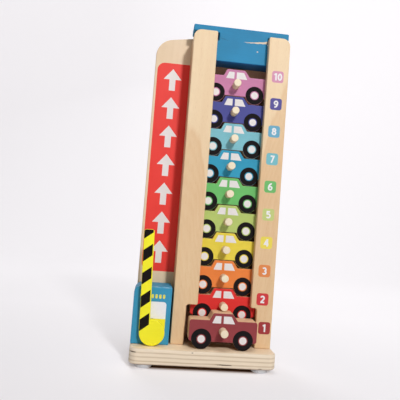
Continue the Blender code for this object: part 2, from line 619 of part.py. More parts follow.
def ring_piece(name, outer, inner, thickness, rear):
    """A flat washer on the gate arm's pivot axis, its rear face at a given depth."""
    profile = [(inner, thickness), (outer, thickness), (outer, 0.0), (inner, 0.0), (inner, thickness)]
    turned_piece(name, profile, facing_front(PIVOT_X, rear, PIVOT_Z), NYLON)


def make_retainer_screw(seat):
    """The pan-head screw in the dowel's rear end, which keeps the gate arm on the booth."""
    head = RETAINER_HEAD_DIAMETER / 2
    shank = RETAINER_SHANK_DIAMETER / 2
    length = RETAINER_SHANK_LENGTH - RETAINER_THICK
    crown = RETAINER_HEAD_HEIGHT
    profile = [(0.0, crown + length), (shank, crown + length - shank), (shank, crown), (head, crown),
               (head, crown / 2), (head / 2, 0.0), (0.0, 0.0)]
    turned_piece("pivot_retainer_screw", profile, facing_front(PIVOT_X, seat + crown, PIVOT_Z), STEEL)


make_base()
make_feet()
make_screws()
make_posts()
make_side_bars()
make_back_board()
make_roof()
make_booth()
make_gate_arm()
make_cars()
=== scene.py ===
"""The looks of a toy parking garage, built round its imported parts.

The toy faces -Y, +X is to its right and +Z is up. Sizes here are in millimetres, and become metres where
a mesh is made. Marks on the toy are placed by their height above the base's top. Every board, turned piece
and mark is a surface worked out on a grid, and every finish is made of nodes that read the place on the
piece."""

import json
import math

import bmesh
import bpy
import numpy as np
from mathutils import Matrix, Vector


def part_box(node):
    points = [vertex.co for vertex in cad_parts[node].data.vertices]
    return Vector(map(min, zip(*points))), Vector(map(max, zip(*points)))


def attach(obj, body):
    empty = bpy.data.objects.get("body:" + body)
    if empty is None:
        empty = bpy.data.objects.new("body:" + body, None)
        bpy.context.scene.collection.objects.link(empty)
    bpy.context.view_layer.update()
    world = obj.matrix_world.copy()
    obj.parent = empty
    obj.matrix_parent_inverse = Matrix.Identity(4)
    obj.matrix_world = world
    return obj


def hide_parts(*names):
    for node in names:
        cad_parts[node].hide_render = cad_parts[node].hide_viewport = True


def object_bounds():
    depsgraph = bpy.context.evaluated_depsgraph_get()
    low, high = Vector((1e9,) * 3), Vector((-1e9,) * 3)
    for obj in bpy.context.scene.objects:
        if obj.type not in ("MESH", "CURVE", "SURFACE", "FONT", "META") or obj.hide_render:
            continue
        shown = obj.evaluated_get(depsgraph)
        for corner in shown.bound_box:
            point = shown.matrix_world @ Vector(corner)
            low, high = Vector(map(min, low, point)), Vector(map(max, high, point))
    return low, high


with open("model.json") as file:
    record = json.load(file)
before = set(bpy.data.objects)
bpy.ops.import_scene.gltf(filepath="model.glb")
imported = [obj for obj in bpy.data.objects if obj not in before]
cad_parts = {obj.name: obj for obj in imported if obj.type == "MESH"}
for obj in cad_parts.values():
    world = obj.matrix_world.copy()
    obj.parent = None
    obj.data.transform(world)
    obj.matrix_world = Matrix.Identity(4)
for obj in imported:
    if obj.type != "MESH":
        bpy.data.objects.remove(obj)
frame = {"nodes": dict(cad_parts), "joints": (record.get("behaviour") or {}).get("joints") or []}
cad_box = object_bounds()

MM = 0.001

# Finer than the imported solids: the turn of one chord of an arc, the chords of a rounded edge, the sides of
# a turned piece, the narrow flat rim that keeps a board's face flat in shading, and what shades sharp
ARC_CHORD = math.radians(6.0)
EDGE_CHORDS = 6
TURNED_SIDES = 64
FLAT_RIM = 0.05
SHARP_ANGLE = math.radians(42.0)
SAME_POINT = 0.001

# A flat-sawn board's heart: how far down its arch opens to its width, the turns of its rings in that span,
# how far the growth lines shift them, and the arches as (x, height, width)
FIGURE_SPAN = 104.0
FIGURE_RINGS = 34.0
FIGURE_WAVER = 9.0
LEFT_FIGURE = (-33.5, 244.0, 27.0)
RIGHT_FIGURE = (76.0, 300.0, 26.0)

# Rounded edges
BOARD_ROUND = 0.9
BAR_ROUND = 0.45
BASE_ROUND = 2.0
CAR_ROUND = 0.8
ARM_ROUND = 0.7
PEG_ROUND = 0.8

# Tower and base
POST_CORNER = 8.5
SLOT_CORNER = 1.6
EXIT_CORNER = 3.0
EXIT_HEIGHT = 42.0
EXIT_REVEAL_LEFT = 1.0
EXIT_LIP_RIGHT = 2.2
WING_CORNER = 20.0
WING_DROP = 6.4
BASE_CORNER = 9.0
SQUARE_CORNER = 1.0

# Plywood: the plies' pitch, where the lowest dark one starts, and its open voids, painted dark as the shade
# in their hollows, as (x, height, half width, half height, slope)
PLY = 2.05
LOWEST_DARK_PLY = 2.8
VOIDS = ((-70.6, -4.0, 2.8, 0.55, 0.0), (20.6, -12.6, 8.4, 0.5, 0.0), (-11.9, -2.1, 1.0, 0.35, 0.0),
         (58.0, -14.8, 2.2, 0.3, 0.0))

# Roof block
ROOF_BAR = 7.1
ROOF_KERF_LEFT = 13.1
ROOF_KERF_RIGHT = 8.2
ROOF_LOWER = 22.7
ROOF_SIDE_PLAY = 0.6

# Car, from midway between its wheels and from the wheels' lowest point
NOSE = 34.6
TAIL = 35.8
AXLE_HALF = 21.5
WHEEL = 10.2
BELLY = 7.7
HOOD = 29.5
CABIN_TOP = 36.8
CABIN_FRONT = (-14.0, -10.4)
CABIN_REAR = (15.0, 9.6)
CAR_CORNER = 2.6
CABIN_CORNER = 2.2
TYRE_PRINT = 9.9
FIRST_TYRE_PRINT = 10.4
RING_PRINT = 4.8
HUB_PRINT = 3.8
FRONT_WINDOW = ((-11.3, 26.6), (-2.3, 26.6), (-2.3, 34.0), (-8.1, 34.0))
REAR_WINDOW = ((0.3, 26.6), (12.2, 26.6), (8.2, 34.0), (0.3, 34.0))
WINDOW_ROUNDING = 0.6

# Booth and gate arm
BOOTH_CORNER = 7.5
HUB = 12.9
ARM_WIDTH = 10.6
ARM_LENGTH = 104.0
ARM_TIP = 2.4
ARM_LEAN = math.radians(1.6)
PIVOT_BORE = 4.3
PIVOT_BORE_LENGTH = 18.0
RETAINER_WELL = 7.0

# Bumpers and screws
BUMPER_TIP = 8.5
BUMPER_BRIM = 0.64
BUMPER_ROUND = 0.8
SCREW_SUNK = 0.8
SCREW_HEAD = 2.8
SCREW_SHANK = 1.7
SCREW_TIP = 4.0
SCREW_CLEARANCE = 0.3
THREAD_PITCH = 1.5
THREAD_DEPTH = 0.45
THREAD_RUN_OUT = 2.0
SHANK_STEPS = 120
CROSS_HALF = 2.1
CROSS_SLOT = 0.45
CROSS_DEPTH = 1.5

# Labels and their numbers: a stroke's half width, and half the height that its middle line covers
LABEL = 12.8
LABEL_CORNER = 2.7
LABEL_X = 60.7
LABEL_1_X = 64.6
LABEL_1_UP = 21.8
LABEL_PITCH = 30.0
STROKE = 0.85
DIGIT = 3.15
TEN_SPREAD = 2.35
INK = 0.06

# Printed colours, from car 1 up to car 10, and the same for their labels
CAR_PAINT = ((148, 66, 70), (225, 56, 53), (236, 134, 67), (231, 210, 76), (183, 202, 114),
             (111, 191, 109), (55, 155, 189), (126, 189, 202), (77, 80, 150), (199, 128, 167))
LABEL_PAINT = ((162, 58, 60), (208, 60, 64), (226, 138, 80), (238, 218, 92), (197, 208, 130),
               (112, 186, 108), (120, 188, 198), (108, 172, 200), (84, 78, 150), (212, 146, 174))


def box(node):
    """A part's lowest and highest corners, in millimetres."""
    low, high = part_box(node)
    return np.array(low) / MM, np.array(high) / MM


BASE_TOP = box("base_plate")[1][2]


def paint(red, green, blue):
    """A colour mixed for the screen, 0 to 255, as the light it reflects: ((c + 0.055) / 1.055) ** 2.4."""
    shares = np.array((red, green, blue)) / 255
    linear = np.where(shares <= 0.04045, shares / 12.92, ((shares + 0.055) / 1.055) ** 2.4)
    return (*linear.tolist(), 1.0)


def toned(colour, *factors):
    """A screen colour with its red, green and blue each taken up or down by a factor."""
    return tuple(min(255, round(c * f)) for c, f in zip(colour, factors * (3 // len(factors))))


class Value:
    """A socket's value in a sum: each operator adds the Math node that works it out."""

    def __init__(self, nodes, socket):
        self.nodes = nodes
        self.socket = socket

    def math(self, operation, *others):
        return self.nodes.math(operation, self, *others)

    def __add__(self, other):
        return self.math("ADD", other)

    def __sub__(self, other):
        return self.math("SUBTRACT", other)

    def __rsub__(self, other):
        return self.nodes.math("SUBTRACT", other, self)

    def __mul__(self, other):
        return self.math("MULTIPLY", other)

    def __truediv__(self, other):
        return self.math("DIVIDE", other)

    def __mod__(self, other):
        return self.math("FLOORED_MODULO", other)

    def __neg__(self):
        return self.math("MULTIPLY", -1.0)

    def __abs__(self):
        return self.math("ABSOLUTE")

    __radd__ = __add__
    __rmul__ = __mul__


class Nodes:
    """A tree of nodes in the making."""

    def __init__(self, tree):
        self.tree = tree

    def node(self, kind, settings=None, values=None, output=0):
        """Adds any node: its settings first, then the values or links of its sockets."""
        made = self.tree.nodes.new("ShaderNode" + kind)
        for name, setting in (settings or {}).items():
            setattr(made, name, setting)
        for name, value in (values or {}).items():
            self.fill(made.inputs[name], value)
        return Value(self, made.outputs[output])

    def fill(self, socket, value):
        """Sets a socket to a number or a colour, or links it to another node's value."""
        if isinstance(value, Value):
            self.tree.links.new(value.socket, socket)
        else:
            socket.default_value = value

    def math(self, operation, *values):
        return self.node("Math", {"operation": operation}, dict(enumerate(values)))

    def mix(self, share, first, second):
        """The first colour where the share is 0, and the second where it is 1. A colour is another node's,
        or a plain one for the screen."""
        plain = [paint(*colour) if isinstance(colour, tuple) else colour for colour in (first, second)]
        return self.node("Mix", {"data_type": "RGBA"}, {0: share, 6: plain[0], 7: plain[1]}, 2)

    def rise(self, value, low, high):
        """A smooth step: 0 below low, 1 above high."""
        limits = {"Value": value, "From Min": low, "From Max": high}
        return self.node("MapRange", {"interpolation_type": "SMOOTHSTEP"}, limits)

    def inside(self, distance, softness=0.06):
        """1 where a distance to an outline is below zero, with an edge as soft as printed ink."""
        return self.rise(distance, softness, -softness)

    def seen(self):
        """1 for what the camera sees straight, in a gloss or through something clear."""
        camera, glossy, clear = (self.node("LightPath", output=f"Is {ray} Ray")
                                 for ray in ("Camera", "Glossy", "Transmission"))
        return camera.math("MAXIMUM", glossy).math("MAXIMUM", clear)


class Finish(Nodes):
    """A finish in the making. Its x, y and z are the place on the piece in millimetres."""

    def __init__(self, name, roughness=0.5, **constants):
        self.material = bpy.data.materials.new(name)
        self.material.use_nodes = True
        super().__init__(self.material.node_tree)
        self.shader = self.tree.nodes["Principled BSDF"]
        self.shader.inputs["Roughness"].default_value = roughness
        for socket, value in constants.items():
            self.shader.inputs[socket.replace("_", " ")].default_value = value
        metres = self.node("TexCoord", output="Object")
        self.place = self.node("VectorMath", {"operation": "SCALE"}, {0: metres, "Scale": 1 / MM})
        self.x, self.y, self.z = (self.node("SeparateXYZ", {}, {0: self.place}, axis) for axis in "XYZ")
        self.up = self.z - BASE_TOP

    def noise(self, stretch, seed, detail=2.0):
        """Smooth random values from 0 to 1, with so many changes a millimetre: one number for every
        direction, or three for X, Y and Z."""
        along = stretch if isinstance(stretch, tuple) else (stretch,) * 3
        values = {0: self.place, 1: along, 2: (seed, seed * 1.7, seed * 2.3)}
        where = self.node("VectorMath", {"operation": "MULTIPLY_ADD"}, values)
        return self.node("TexNoise", {}, {"Vector": where, "Scale": 1.0, "Detail": detail})

    def facing(self, axis):
        """How squarely the surface faces along an axis, 0 to 1."""
        return abs(self.node("SeparateXYZ", {}, {0: self.node("TexCoord", output="Normal")}, axis.upper()))

    def front(self, node, depth, softness):
        """1 on a part's front face, and for so many millimetres behind it."""
        return self.inside(self.y - (box(node)[0][1] + depth), softness)

    def finish(self, colour, roughness=None, height=None, bump=0.3, relief=0.05):
        """Links what varies over the surface to the shader. Height is in units of relief millimetres."""
        self.fill(self.shader.inputs["Base Color"], colour)
        if roughness is not None:
            self.fill(self.shader.inputs["Roughness"], roughness)
        if height is not None:
            values = {"Strength": bump, "Distance": relief * MM, "Height": height}
            self.fill(self.shader.inputs["Normal"], self.node("Bump", {}, values))
        return self.material


def limited(value, low=0.0, high=1.0):
    """A value held between two limits."""
    return value.math("MINIMUM", high).math("MAXIMUM", low)


def circle(u, v, centre, radius):
    """How far a place lies outside a circle: the root of the squared steps, less the radius."""
    du = u - centre[0]
    dv = v - centre[1]
    return (du * du + dv * dv).math("SQRT") - radius


def rounded_box(u, v, centre, half, radius):
    """How far a place lies outside a box with rounded corners: the length of the part of its step past
    the corner's centre, less the radius."""
    du = abs(u - centre[0]) - (half[0] - radius)
    dv = abs(v - centre[1]) - (half[1] - radius)
    out_u = du.math("MAXIMUM", 0.0)
    out_v = dv.math("MAXIMUM", 0.0)
    corner = (out_u * out_u + out_v * out_v).math("SQRT")
    return corner + du.math("MAXIMUM", dv).math("MINIMUM", 0.0) - radius


def polygon(u, v, points, rounding):
    """How far a place lies outside a convex outline run anticlockwise: the greatest of its distances past
    the sides' lines, joined by a smooth maximum."""
    furthest = None
    for (u0, v0), (u1, v1) in zip(points, points[1:] + points[:1]):
        length = math.hypot(u1 - u0, v1 - v0)
        out_u, out_v = (v1 - v0) / length, (u0 - u1) / length
        past = u * out_u + v * out_v - (u0 * out_u + v0 * out_v)
        furthest = past if furthest is None else furthest.math("SMOOTH_MAX", past, rounding)
    return furthest


def ovals(finish, marks, ragged, softness):
    """1 in ragged ovals, such as open voids or places where paint has come off. Each is (x, height, half
    width, half height, slope), and holds what lies less than 1 from its middle in its own half sizes."""
    found = None
    for x, height, half_x, half_z, slope in marks:
        aside = finish.x - x
        across = aside / half_x
        upward = (finish.up - height - aside * slope) / half_z
        oval = finish.inside((across * across + upward * upward).math("SQRT") - 1 + ragged, softness)
        found = oval if found is None else found.math("MAXIMUM", oval)
    return found


def stretched(along, across, lengthwise):
    """Changes a millimetre across the grain, and fewer along it, as a stretch for noise."""
    return tuple(lengthwise if axis == along else across for axis in "xyz")


def wood_grain(finish, along, pale, deep, seed, figure=None):
    """Planed wood: a broad drift of tone, soft growth lines, fine fibres and short pores. Gives its colour
    and its height, in which the pores and the soft wood between the lines lie lower. A figure (x, height,
    width) adds the arch of a flat-sawn board's heart, which holds each place whose depth below the figure's
    height is more than the span * (its step aside from x / width) ** 2."""
    drift = finish.noise(stretched(along, 0.06, 0.009), seed)
    lines = finish.noise(stretched(along, 0.36, 0.008), seed + 11, 3.0)
    fibres = finish.noise(stretched(along, 2.6, 0.05), seed + 23)
    pores = finish.rise(finish.noise(stretched(along, 3.4, 0.22), seed + 37, 0.0), 0.70, 0.80)
    share = (drift - 0.5) * 1.1 + (lines - 0.5) * 0.55 + (fibres - 0.5) * 0.25 + 0.45
    if figure is not None:
        x, height, width = figure
        aside = (finish.x - x) / width
        within = (height - finish.up) / FIGURE_SPAN - aside * aside + (drift - 0.5) * 0.7
        rings = (within * FIGURE_RINGS + lines * FIGURE_WAVER).math("SINE")
        heart = finish.rise(within, -0.05, 0.10)
        share = share * 0.6 - 0.05 + heart * 0.55 + rings * (finish.rise(within, -0.3, 0.3) * 0.045 + 0.01)
    share = limited(share)
    colour = finish.mix(share, pale, deep)
    colour = finish.mix(pores * 0.22, colour, toned(deep, 0.86, 0.78, 0.68))
    return colour, fibres * 0.5 + lines * 0.3 - pores * 0.5


def end_grain(finish, along, colour, height, deep):
    """Darkens a wood where it is cut across its fibres, and speckles it with cut pores."""
    cut = finish.rise(finish.facing(along), 0.75, 0.92)
    speckle = finish.noise(2.4, 5.0)
    colour = finish.mix(cut * (0.3 + speckle * 0.4), colour, toned(deep, 0.88))
    return colour, height + cut * speckle * 0.6


def board_wood(name, seed, pale=(240, 214, 176), deep=(224, 186, 142), figure=None):
    """Pale planed board, sanded and clear-lacquered."""
    finish = Finish(name, 0.5, Specular_IOR_Level=0.35)
    colour, height = wood_grain(finish, "z", pale, deep, seed, figure)
    colour, height = end_grain(finish, "z", colour, height, deep)
    roughness = 0.46 + finish.noise(0.2, seed) * 0.12
    return finish, colour, height, roughness


def plain_board(name, seed, **tones):
    """The same board with nothing printed on it."""
    finish, colour, height, roughness = board_wood(name, seed, **tones)
    return finish.finish(colour, roughness, height)


# The sign printed on the wing. Its right end runs on behind the tower
SIGN_LEFT, SIGN_RIGHT = -69.7, -20.0
SIGN_BOTTOM, SIGN_TOP = 71.3, 304.2
SIGN_CORNER = 8.5
SLOT_MIDDLE, SLOT_HALF = 23.0, 40.0
ARROW_X = -52.0
ARROW_TOP = 297.8
ARROW_PITCH = 32.13
ARROW_COUNT = 7
ARROW_HEIGHT = 24.6
ARROW_HEAD = 12.0
ARROW_HALF = 10.0
ARROW_STEM = 3.4


def sign_board(name):
    """The rear board: wood with a red sign printed down the wing, seven white arrows on it, and painted
    shade on its face inside the slot."""
    finish, colour, height, roughness = board_wood(name, 40.0, (238, 214, 184), (226, 198, 162))
    middle = ((SIGN_LEFT + SIGN_RIGHT) / 2, (SIGN_BOTTOM + SIGN_TOP) / 2)
    half = ((SIGN_RIGHT - SIGN_LEFT) / 2, (SIGN_TOP - SIGN_BOTTOM) / 2)
    front = finish.front("back_board", 0.15, 0.05)
    red = finish.inside(rounded_box(finish.x, finish.up, middle, half, SIGN_CORNER)) * front
    mottle = finish.noise((0.12, 0.12, 0.05), 3.0, 3.0)
    ink = finish.mix(mottle, (241, 54, 46), (233, 43, 37))
    colour = finish.mix(red * 0.98, colour, ink)
    # Painted shade: the face inside the slot, behind the cars, is darkened and warmed to a red brown.
    inner = finish.inside(abs(finish.x - SLOT_MIDDLE) - SLOT_HALF, 2.0) * front
    colour = finish.mix(inner * 0.6, colour, (176, 112, 92))
    lowest = ARROW_TOP - ARROW_PITCH * ARROW_COUNT
    step = (finish.up - lowest) % ARROW_PITCH - (ARROW_PITCH - ARROW_HEIGHT)
    across = abs(finish.x - ARROW_X)
    neck = ARROW_HEIGHT - ARROW_HEAD
    slope = ARROW_HALF / ARROW_HEAD
    head = ((step - ARROW_HEIGHT) * slope + across).math("MAXIMUM", neck - step)
    stem = (across - ARROW_STEM).math("MAXIMUM", step - (neck + 1.0)).math("MAXIMUM", -step)
    arrow = finish.inside(head.math("SMOOTH_MIN", stem, 0.3))
    rows = finish.inside(abs(finish.up - (lowest + ARROW_TOP) / 2) - (ARROW_TOP - lowest) / 2)
    white = finish.mix(mottle, (238, 232, 231), (228, 222, 221))
    colour = finish.mix(arrow * rows * front, colour, white)
    roughness = roughness * (1 - red) + red * 0.5
    return finish.finish(colour, roughness, height * (1 - red * 0.7))


def plywood(name):
    """Plywood: a clear top face, and plies whose grain runs along and across by turns, so that every second
    one shows its darker end grain at the edge, with soft limits between them, a few open voids painted dark
    as their shade, and painted shade along its lowest edge."""
    finish = Finish(name, 0.55, Specular_IOR_Level=0.3)
    bottom = box("base_plate")[0][2]
    face, face_height = wood_grain(finish, "x", (252, 231, 202), (246, 217, 182), 70.0)
    wander = (finish.noise((0.03, 0.03, 0.0), 9.0) - 0.5) * 1.3
    level = (finish.z - (bottom + LOWEST_DARK_PLY) + wander) / PLY
    layer = level.math("FLOOR")
    within = level - layer
    dark = 1 - layer % 2.0
    along_ply = finish.noise((0.12, 0.12, 2.0), 17.0, 3.0)
    end_ply = finish.noise((1.3, 1.3, 4.0), 29.0)
    patch = finish.noise((0.045, 0.045, 0.5), 33.0)
    light_grain = finish.mix(along_ply, (243, 229, 208), (234, 214, 188))
    cut_grain = finish.mix(end_ply * 0.6 + patch * 0.4, (222, 202, 172), (190, 162, 128))
    core = finish.rise(within.math("MINIMUM", 1 - within), 0.0, 0.4)
    side = finish.mix(dark * core * (0.45 + patch * 0.6), light_grain, cut_grain)
    # Painted shade: the plies darken to brown along the board's lowest 1.5 mm, as under the base's edge.
    painted_bottom_shade = finish.rise(finish.z, bottom + 1.5, bottom + 0.3)
    side = finish.mix(painted_bottom_shade * 0.75, side, (136, 98, 72))
    edge = 1 - finish.rise(finish.facing("z"), 0.80, 0.97)
    colour = finish.mix(edge, face, side)
    ragged = (finish.noise((0.9, 0.9, 2.5), 51.0) - 0.5) * 1.4
    voids = ovals(finish, VOIDS, ragged, 0.2) * finish.front("base_plate", 9.0, 0.5) * edge
    # Painted shade: the voids are coloured near black for the shade inside their hollows.
    colour = finish.mix(voids * 0.9, colour, (62, 38, 28))
    relief = face_height * (1 - edge) + edge * end_ply * dark * 0.8 - voids * 3.0
    return finish.finish(colour, 0.5 + edge * 0.12, relief, 0.4, 0.06)


def dowel_wood(name):
    """Turned dowel: long fibres round its side, and cut pores on its end."""
    finish = Finish(name, 0.5, Specular_IOR_Level=0.35)
    colour, height = wood_grain(finish, "y", (240, 219, 188), (226, 198, 162), 90.0)
    end = finish.rise(finish.facing("y"), 0.75, 0.92)
    speckle = finish.noise(1.6, 5.0, 3.0)
    colour = finish.mix(end, colour, finish.mix(speckle, (249, 237, 210), (236, 217, 184)))
    return finish.finish(colour, 0.5, height + end * speckle * 0.5, 0.35, 0.05)


def coat(finish, colour, seed, drift=0.06):
    """Brushed paint on wood: a slow drift of tone and faint strokes, which also stand as relief."""
    tone = finish.noise(0.04, seed, 3.0)
    strokes = finish.noise((0.05, 0.5, 1.1), seed + 7, 3.0)
    share = limited((tone - 0.5) * 1.2 + (strokes - 0.5) * 0.5 + 0.5)
    return finish.mix(share, toned(colour, 1 - drift), toned(colour, 1 + drift)), strokes


# The roof's knocked places: a long chip that widens to the right, a speck, and a dent at the left
ROOF_CHIPS = ((33.0, 329.6, 9.0, 0.5, 0.05), (42.0, 330.4, 7.0, 1.1, 0.08),
              (46.5, 331.6, 4.5, 0.8, 0.30), (38.1, 320.0, 0.9, 0.9, 0.0))
ROOF_DENT = ((0.5, 330.2, 4.2, 0.5, -0.2),)


def roof_paint(name):
    """Blue paint with painted shade on its underside, and its knocked spots, through which the wood shows.
    """
    finish = Finish(name, 0.55, Specular_IOR_Level=0.2)
    body, strokes = coat(finish, (40, 134, 179), 120.0)
    bare = wood_grain(finish, "x", (244, 226, 200), (226, 202, 170), 120.0)[0]
    front = finish.front("roof_block", 1.2, 0.3)
    chipped, dented = ((finish.noise((0.22, 0.8, 2.2), seed, 3.0) - 0.5) * 2.6 for seed in (120.0, 125.0))
    off = ovals(finish, ROOF_CHIPS, chipped, 0.25) * front
    dent = ovals(finish, ROOF_DENT, dented, 0.25) * front
    body = finish.mix(dent * 0.6, body, (34, 92, 124))
    body = finish.mix(off, body, bare)
    # Painted shade: the faces that look down at the block's lower end turn deep navy.
    under = finish.facing("z") * finish.inside(finish.z - (box("roof_block")[0][2] + 1.2), 0.3)
    body = finish.mix(under * 0.8, body, (22, 84, 156))
    relief = strokes * 0.4 - off * 2.0 - dent
    return finish.finish(body, 0.5 + strokes * 0.1 + off * 0.1, relief)


# The booth's window, counter, sill and dashes, and where the rub and painted highlight on its edge is gone
# and where it is full
WINDOW_LEFT, WINDOW_RIGHT = -67.0, -40.6
WINDOW_BOTTOM, WINDOW_TOP = 13.3, 43.6
COUNTER_TOP = 26.4
WINDOW_CORNER = 3.2
SILL = (-54.6, 1.7, 0.35)
DASH_BOTTOM, DASH_TOP = 46.9, 51.2
DASH_PITCH = 3.9
DASH_COUNT = 7
DASH_RIGHT = -41.6
DASH_HALF = 1.15
RUB_AND_SHEEN_LEFT, RUB_AND_SHEEN_RIGHT = -62.0, -44.0


def booth_paint(name):
    """The booth: blue, with a white window over a yellow counter, a row of yellow dashes over them, and the
    front of its top edge pale, partly rubbed and partly a painted highlight."""
    finish = Finish(name, 0.55, Specular_IOR_Level=0.2)
    body, strokes = coat(finish, (58, 147, 187), 210.0)
    front = finish.front("ticket_booth", 0.12, 0.05)
    middle = ((WINDOW_LEFT + WINDOW_RIGHT) / 2, (WINDOW_BOTTOM + WINDOW_TOP) / 2)
    half = ((WINDOW_RIGHT - WINDOW_LEFT) / 2, (WINDOW_TOP - WINDOW_BOTTOM) / 2)
    window = finish.inside(rounded_box(finish.x, finish.up, middle, half, WINDOW_CORNER)) * front
    mottle = finish.noise(0.3, 8.0)
    body = finish.mix(window, body, finish.mix(mottle, (240, 240, 249), (231, 231, 240)))
    counter = window * finish.inside(finish.up - COUNTER_TOP)
    body = finish.mix(counter, body, finish.mix(mottle, (249, 239, 58), (243, 231, 46)))
    sill = rounded_box(finish.x, finish.up, (SILL[0], COUNTER_TOP), SILL[1:], 0.3)
    body = finish.mix(finish.inside(sill) * front * 0.6, body, (120, 118, 96))
    length = DASH_PITCH * DASH_COUNT
    along = (finish.x - (DASH_RIGHT - length)) % DASH_PITCH - DASH_PITCH / 2
    tall = (DASH_TOP - DASH_BOTTOM) / 2
    dash = rounded_box(along, finish.up, (0.0, DASH_BOTTOM + tall), (DASH_HALF, tall), 1.0)
    row = finish.inside(abs(finish.x - (DASH_RIGHT - length / 2)) - length / 2)
    body = finish.mix(finish.inside(dash) * row * front, body, (232, 222, 92))
    top = box("ticket_booth")[1][2]
    # The front of the top edge goes pale in patches: partly wear, partly a painted highlight on the
    # rounding.
    edge = finish.rise(finish.z, top - 1.6, top - 0.3) * finish.front("ticket_booth", 2.5, 0.6)
    patchy = finish.rise(finish.noise((0.18, 0.5, 0.5), 31.0, 3.0), 0.42, 0.62)
    rub_and_sheen = edge * patchy * finish.rise(finish.x, RUB_AND_SHEEN_LEFT, RUB_AND_SHEEN_RIGHT)
    body = finish.mix(rub_and_sheen * 0.6, body, (190, 212, 222))
    return finish.finish(body, 0.5 + strokes * 0.1 - window * 0.04, strokes * 0.4)


# The gate arm's stripes, by where they meet its left edge
STRIPE_PITCH = 23.15
STRIPE_BLACK = 11.75
STRIPE_RISE = math.tan(math.radians(35.5))
STRIPE_TOP = 105.85
STRIPE_COUNT = 5
STRIPE_EDGE = 1.0


def arm_paint(name, pivot):
    """The gate arm: yellow, with black stripes that rise to the right, printed on its front and stopped
    short of its right edge. Places are taken back to the arm's own upright before its lean."""
    finish = Finish(name, 0.55, Specular_IOR_Level=0.12)
    dx = finish.x - pivot[0]
    dz = finish.z - pivot[2]
    across = dx * math.cos(ARM_LEAN) + dz * math.sin(ARM_LEAN)
    up = dz * math.cos(ARM_LEAN) - dx * math.sin(ARM_LEAN)
    body, strokes = coat(finish, (251, 240, 50), 310.0, 0.03)
    front = finish.front("gate_arm", 0.2, 0.05)
    rise = up - (across + HUB) * STRIPE_RISE
    from_middle = STRIPE_TOP - STRIPE_BLACK / 2 + STRIPE_PITCH / 2 - rise
    stripe = finish.inside(abs(from_middle % STRIPE_PITCH - STRIPE_PITCH / 2) - STRIPE_BLACK / 2)
    rows = finish.inside(from_middle - STRIPE_PITCH * STRIPE_COUNT)
    bar = finish.inside(across + (HUB - ARM_WIDTH + STRIPE_EDGE))
    scuffs = finish.noise(0.5, 41.0, 3.0)
    black = finish.mix(scuffs, (26, 20, 16), (17, 13, 12))
    body = finish.mix(stripe * rows * bar * front, body, black)
    return finish.finish(body, 0.5 + strokes * 0.08 + stripe * 0.2, strokes * 0.4, 0.25, 0.05)


def car_paint(name, number, middle, level, front):
    """A car: its colour, windows, tyres and hubs printed on its front, and bare planed edges with painted
    shade below the wheels' middle.
    """
    finish = Finish(name, 0.55, Specular_IOR_Level=0.12)
    edge_wood = (219, 180, 141)
    colour, height = wood_grain(finish, "x", (234, 199, 162), edge_wood, 400.0 + 13 * number)
    colour, height = end_grain(finish, "x", colour, height, edge_wood)
    u = finish.x - middle
    v = finish.z - level
    body, strokes = coat(finish, CAR_PAINT[number - 1], 500.0 + 17 * number, 0.035)
    glass = finish.noise(0.4, 3.0 * number)
    pale = finish.mix(glass, (238, 233, 232), (228, 223, 222))
    front_window, rear_window = (finish.inside(polygon(u, v, points, WINDOW_ROUNDING))
                                 for points in (FRONT_WINDOW, REAR_WINDOW))
    from_axle = abs(u) - AXLE_HALF
    tyre_print = FIRST_TYRE_PRINT if number == 1 else TYRE_PRINT
    tyre, ring, hub = (finish.inside(circle(from_axle, v, (0.0, WHEEL), radius))
                       for radius in (tyre_print, RING_PRINT, HUB_PRINT))
    white = front_window.math("MAXIMUM", rear_window).math("MAXIMUM", hub)
    rubber = finish.mix(glass, (30, 25, 27), (20, 17, 19))
    print_colour = finish.mix(tyre * (1 - ring), finish.mix(white, body, pale), rubber)
    print_edge = (finish.noise(0.7, 7.0 * number) - 0.5) * 0.25
    printed = finish.inside(finish.y - (front + 0.4) + print_edge, 0.05)
    # Painted shade: the bare edge below the wheels' middle is darkened.
    rim = finish.inside(v - WHEEL, 2.0) * (1 - printed)
    colour = finish.mix(rim * 0.55, colour, (92, 62, 50))
    colour = finish.mix(printed, colour, print_colour)
    roughness = 0.54 - printed * 0.06 + printed * tyre * (1 - ring) * 0.3
    return finish.finish(colour, roughness, height * (1 - printed * 0.75) + strokes * 0.1)


def label_paint(name, colour):
    """A level label's ink."""
    finish = Finish(name, 0.55, Specular_IOR_Level=0.2)
    body, strokes = coat(finish, colour, 610.0, 0.03)
    return finish.finish(body, 0.48 + strokes * 0.06, strokes * 0.3, 0.2, 0.02)


def white_ink(name):
    """The white ink of the numbers."""
    finish = Finish(name, 0.55, Specular_IOR_Level=0.2)
    mottle = finish.noise(0.5, 2.0)
    return finish.finish(finish.mix(mottle, (244, 240, 240), (232, 228, 229)), 0.48 + mottle * 0.05)


def clear_rubber(name):
    """Soft clear bumper: cloudy inside, with a fine haze on its skin."""
    finish = Finish(name, 0.3, Transmission_Weight=0.3, IOR=1.45)
    haze = finish.noise(0.6, 4.0, 3.0)
    colour = finish.mix(haze, (250, 250, 252), (236, 237, 240))
    return finish.finish(colour, 0.22 + haze * 0.15, haze, 0.15, 0.05)


def screw_steel(name):
    """Zinc-plated steel with fine turning marks."""
    finish = Finish(name, 0.3, Metallic=1.0)
    wear = finish.noise(1.5, 6.0, 3.0)
    return finish.finish(finish.mix(wear, (196, 197, 200), (158, 160, 166)), 0.24 + wear * 0.2,
                         wear, 0.2, 0.02)


def nylon(name):
    """Milky nylon washer."""
    finish = Finish(name, 0.35)
    cloud = finish.noise(0.8, 12.0)
    return finish.finish(finish.mix(cloud, (232, 231, 226), (218, 216, 210)), 0.3 + cloud * 0.1,
                         cloud, 0.1, 0.02)


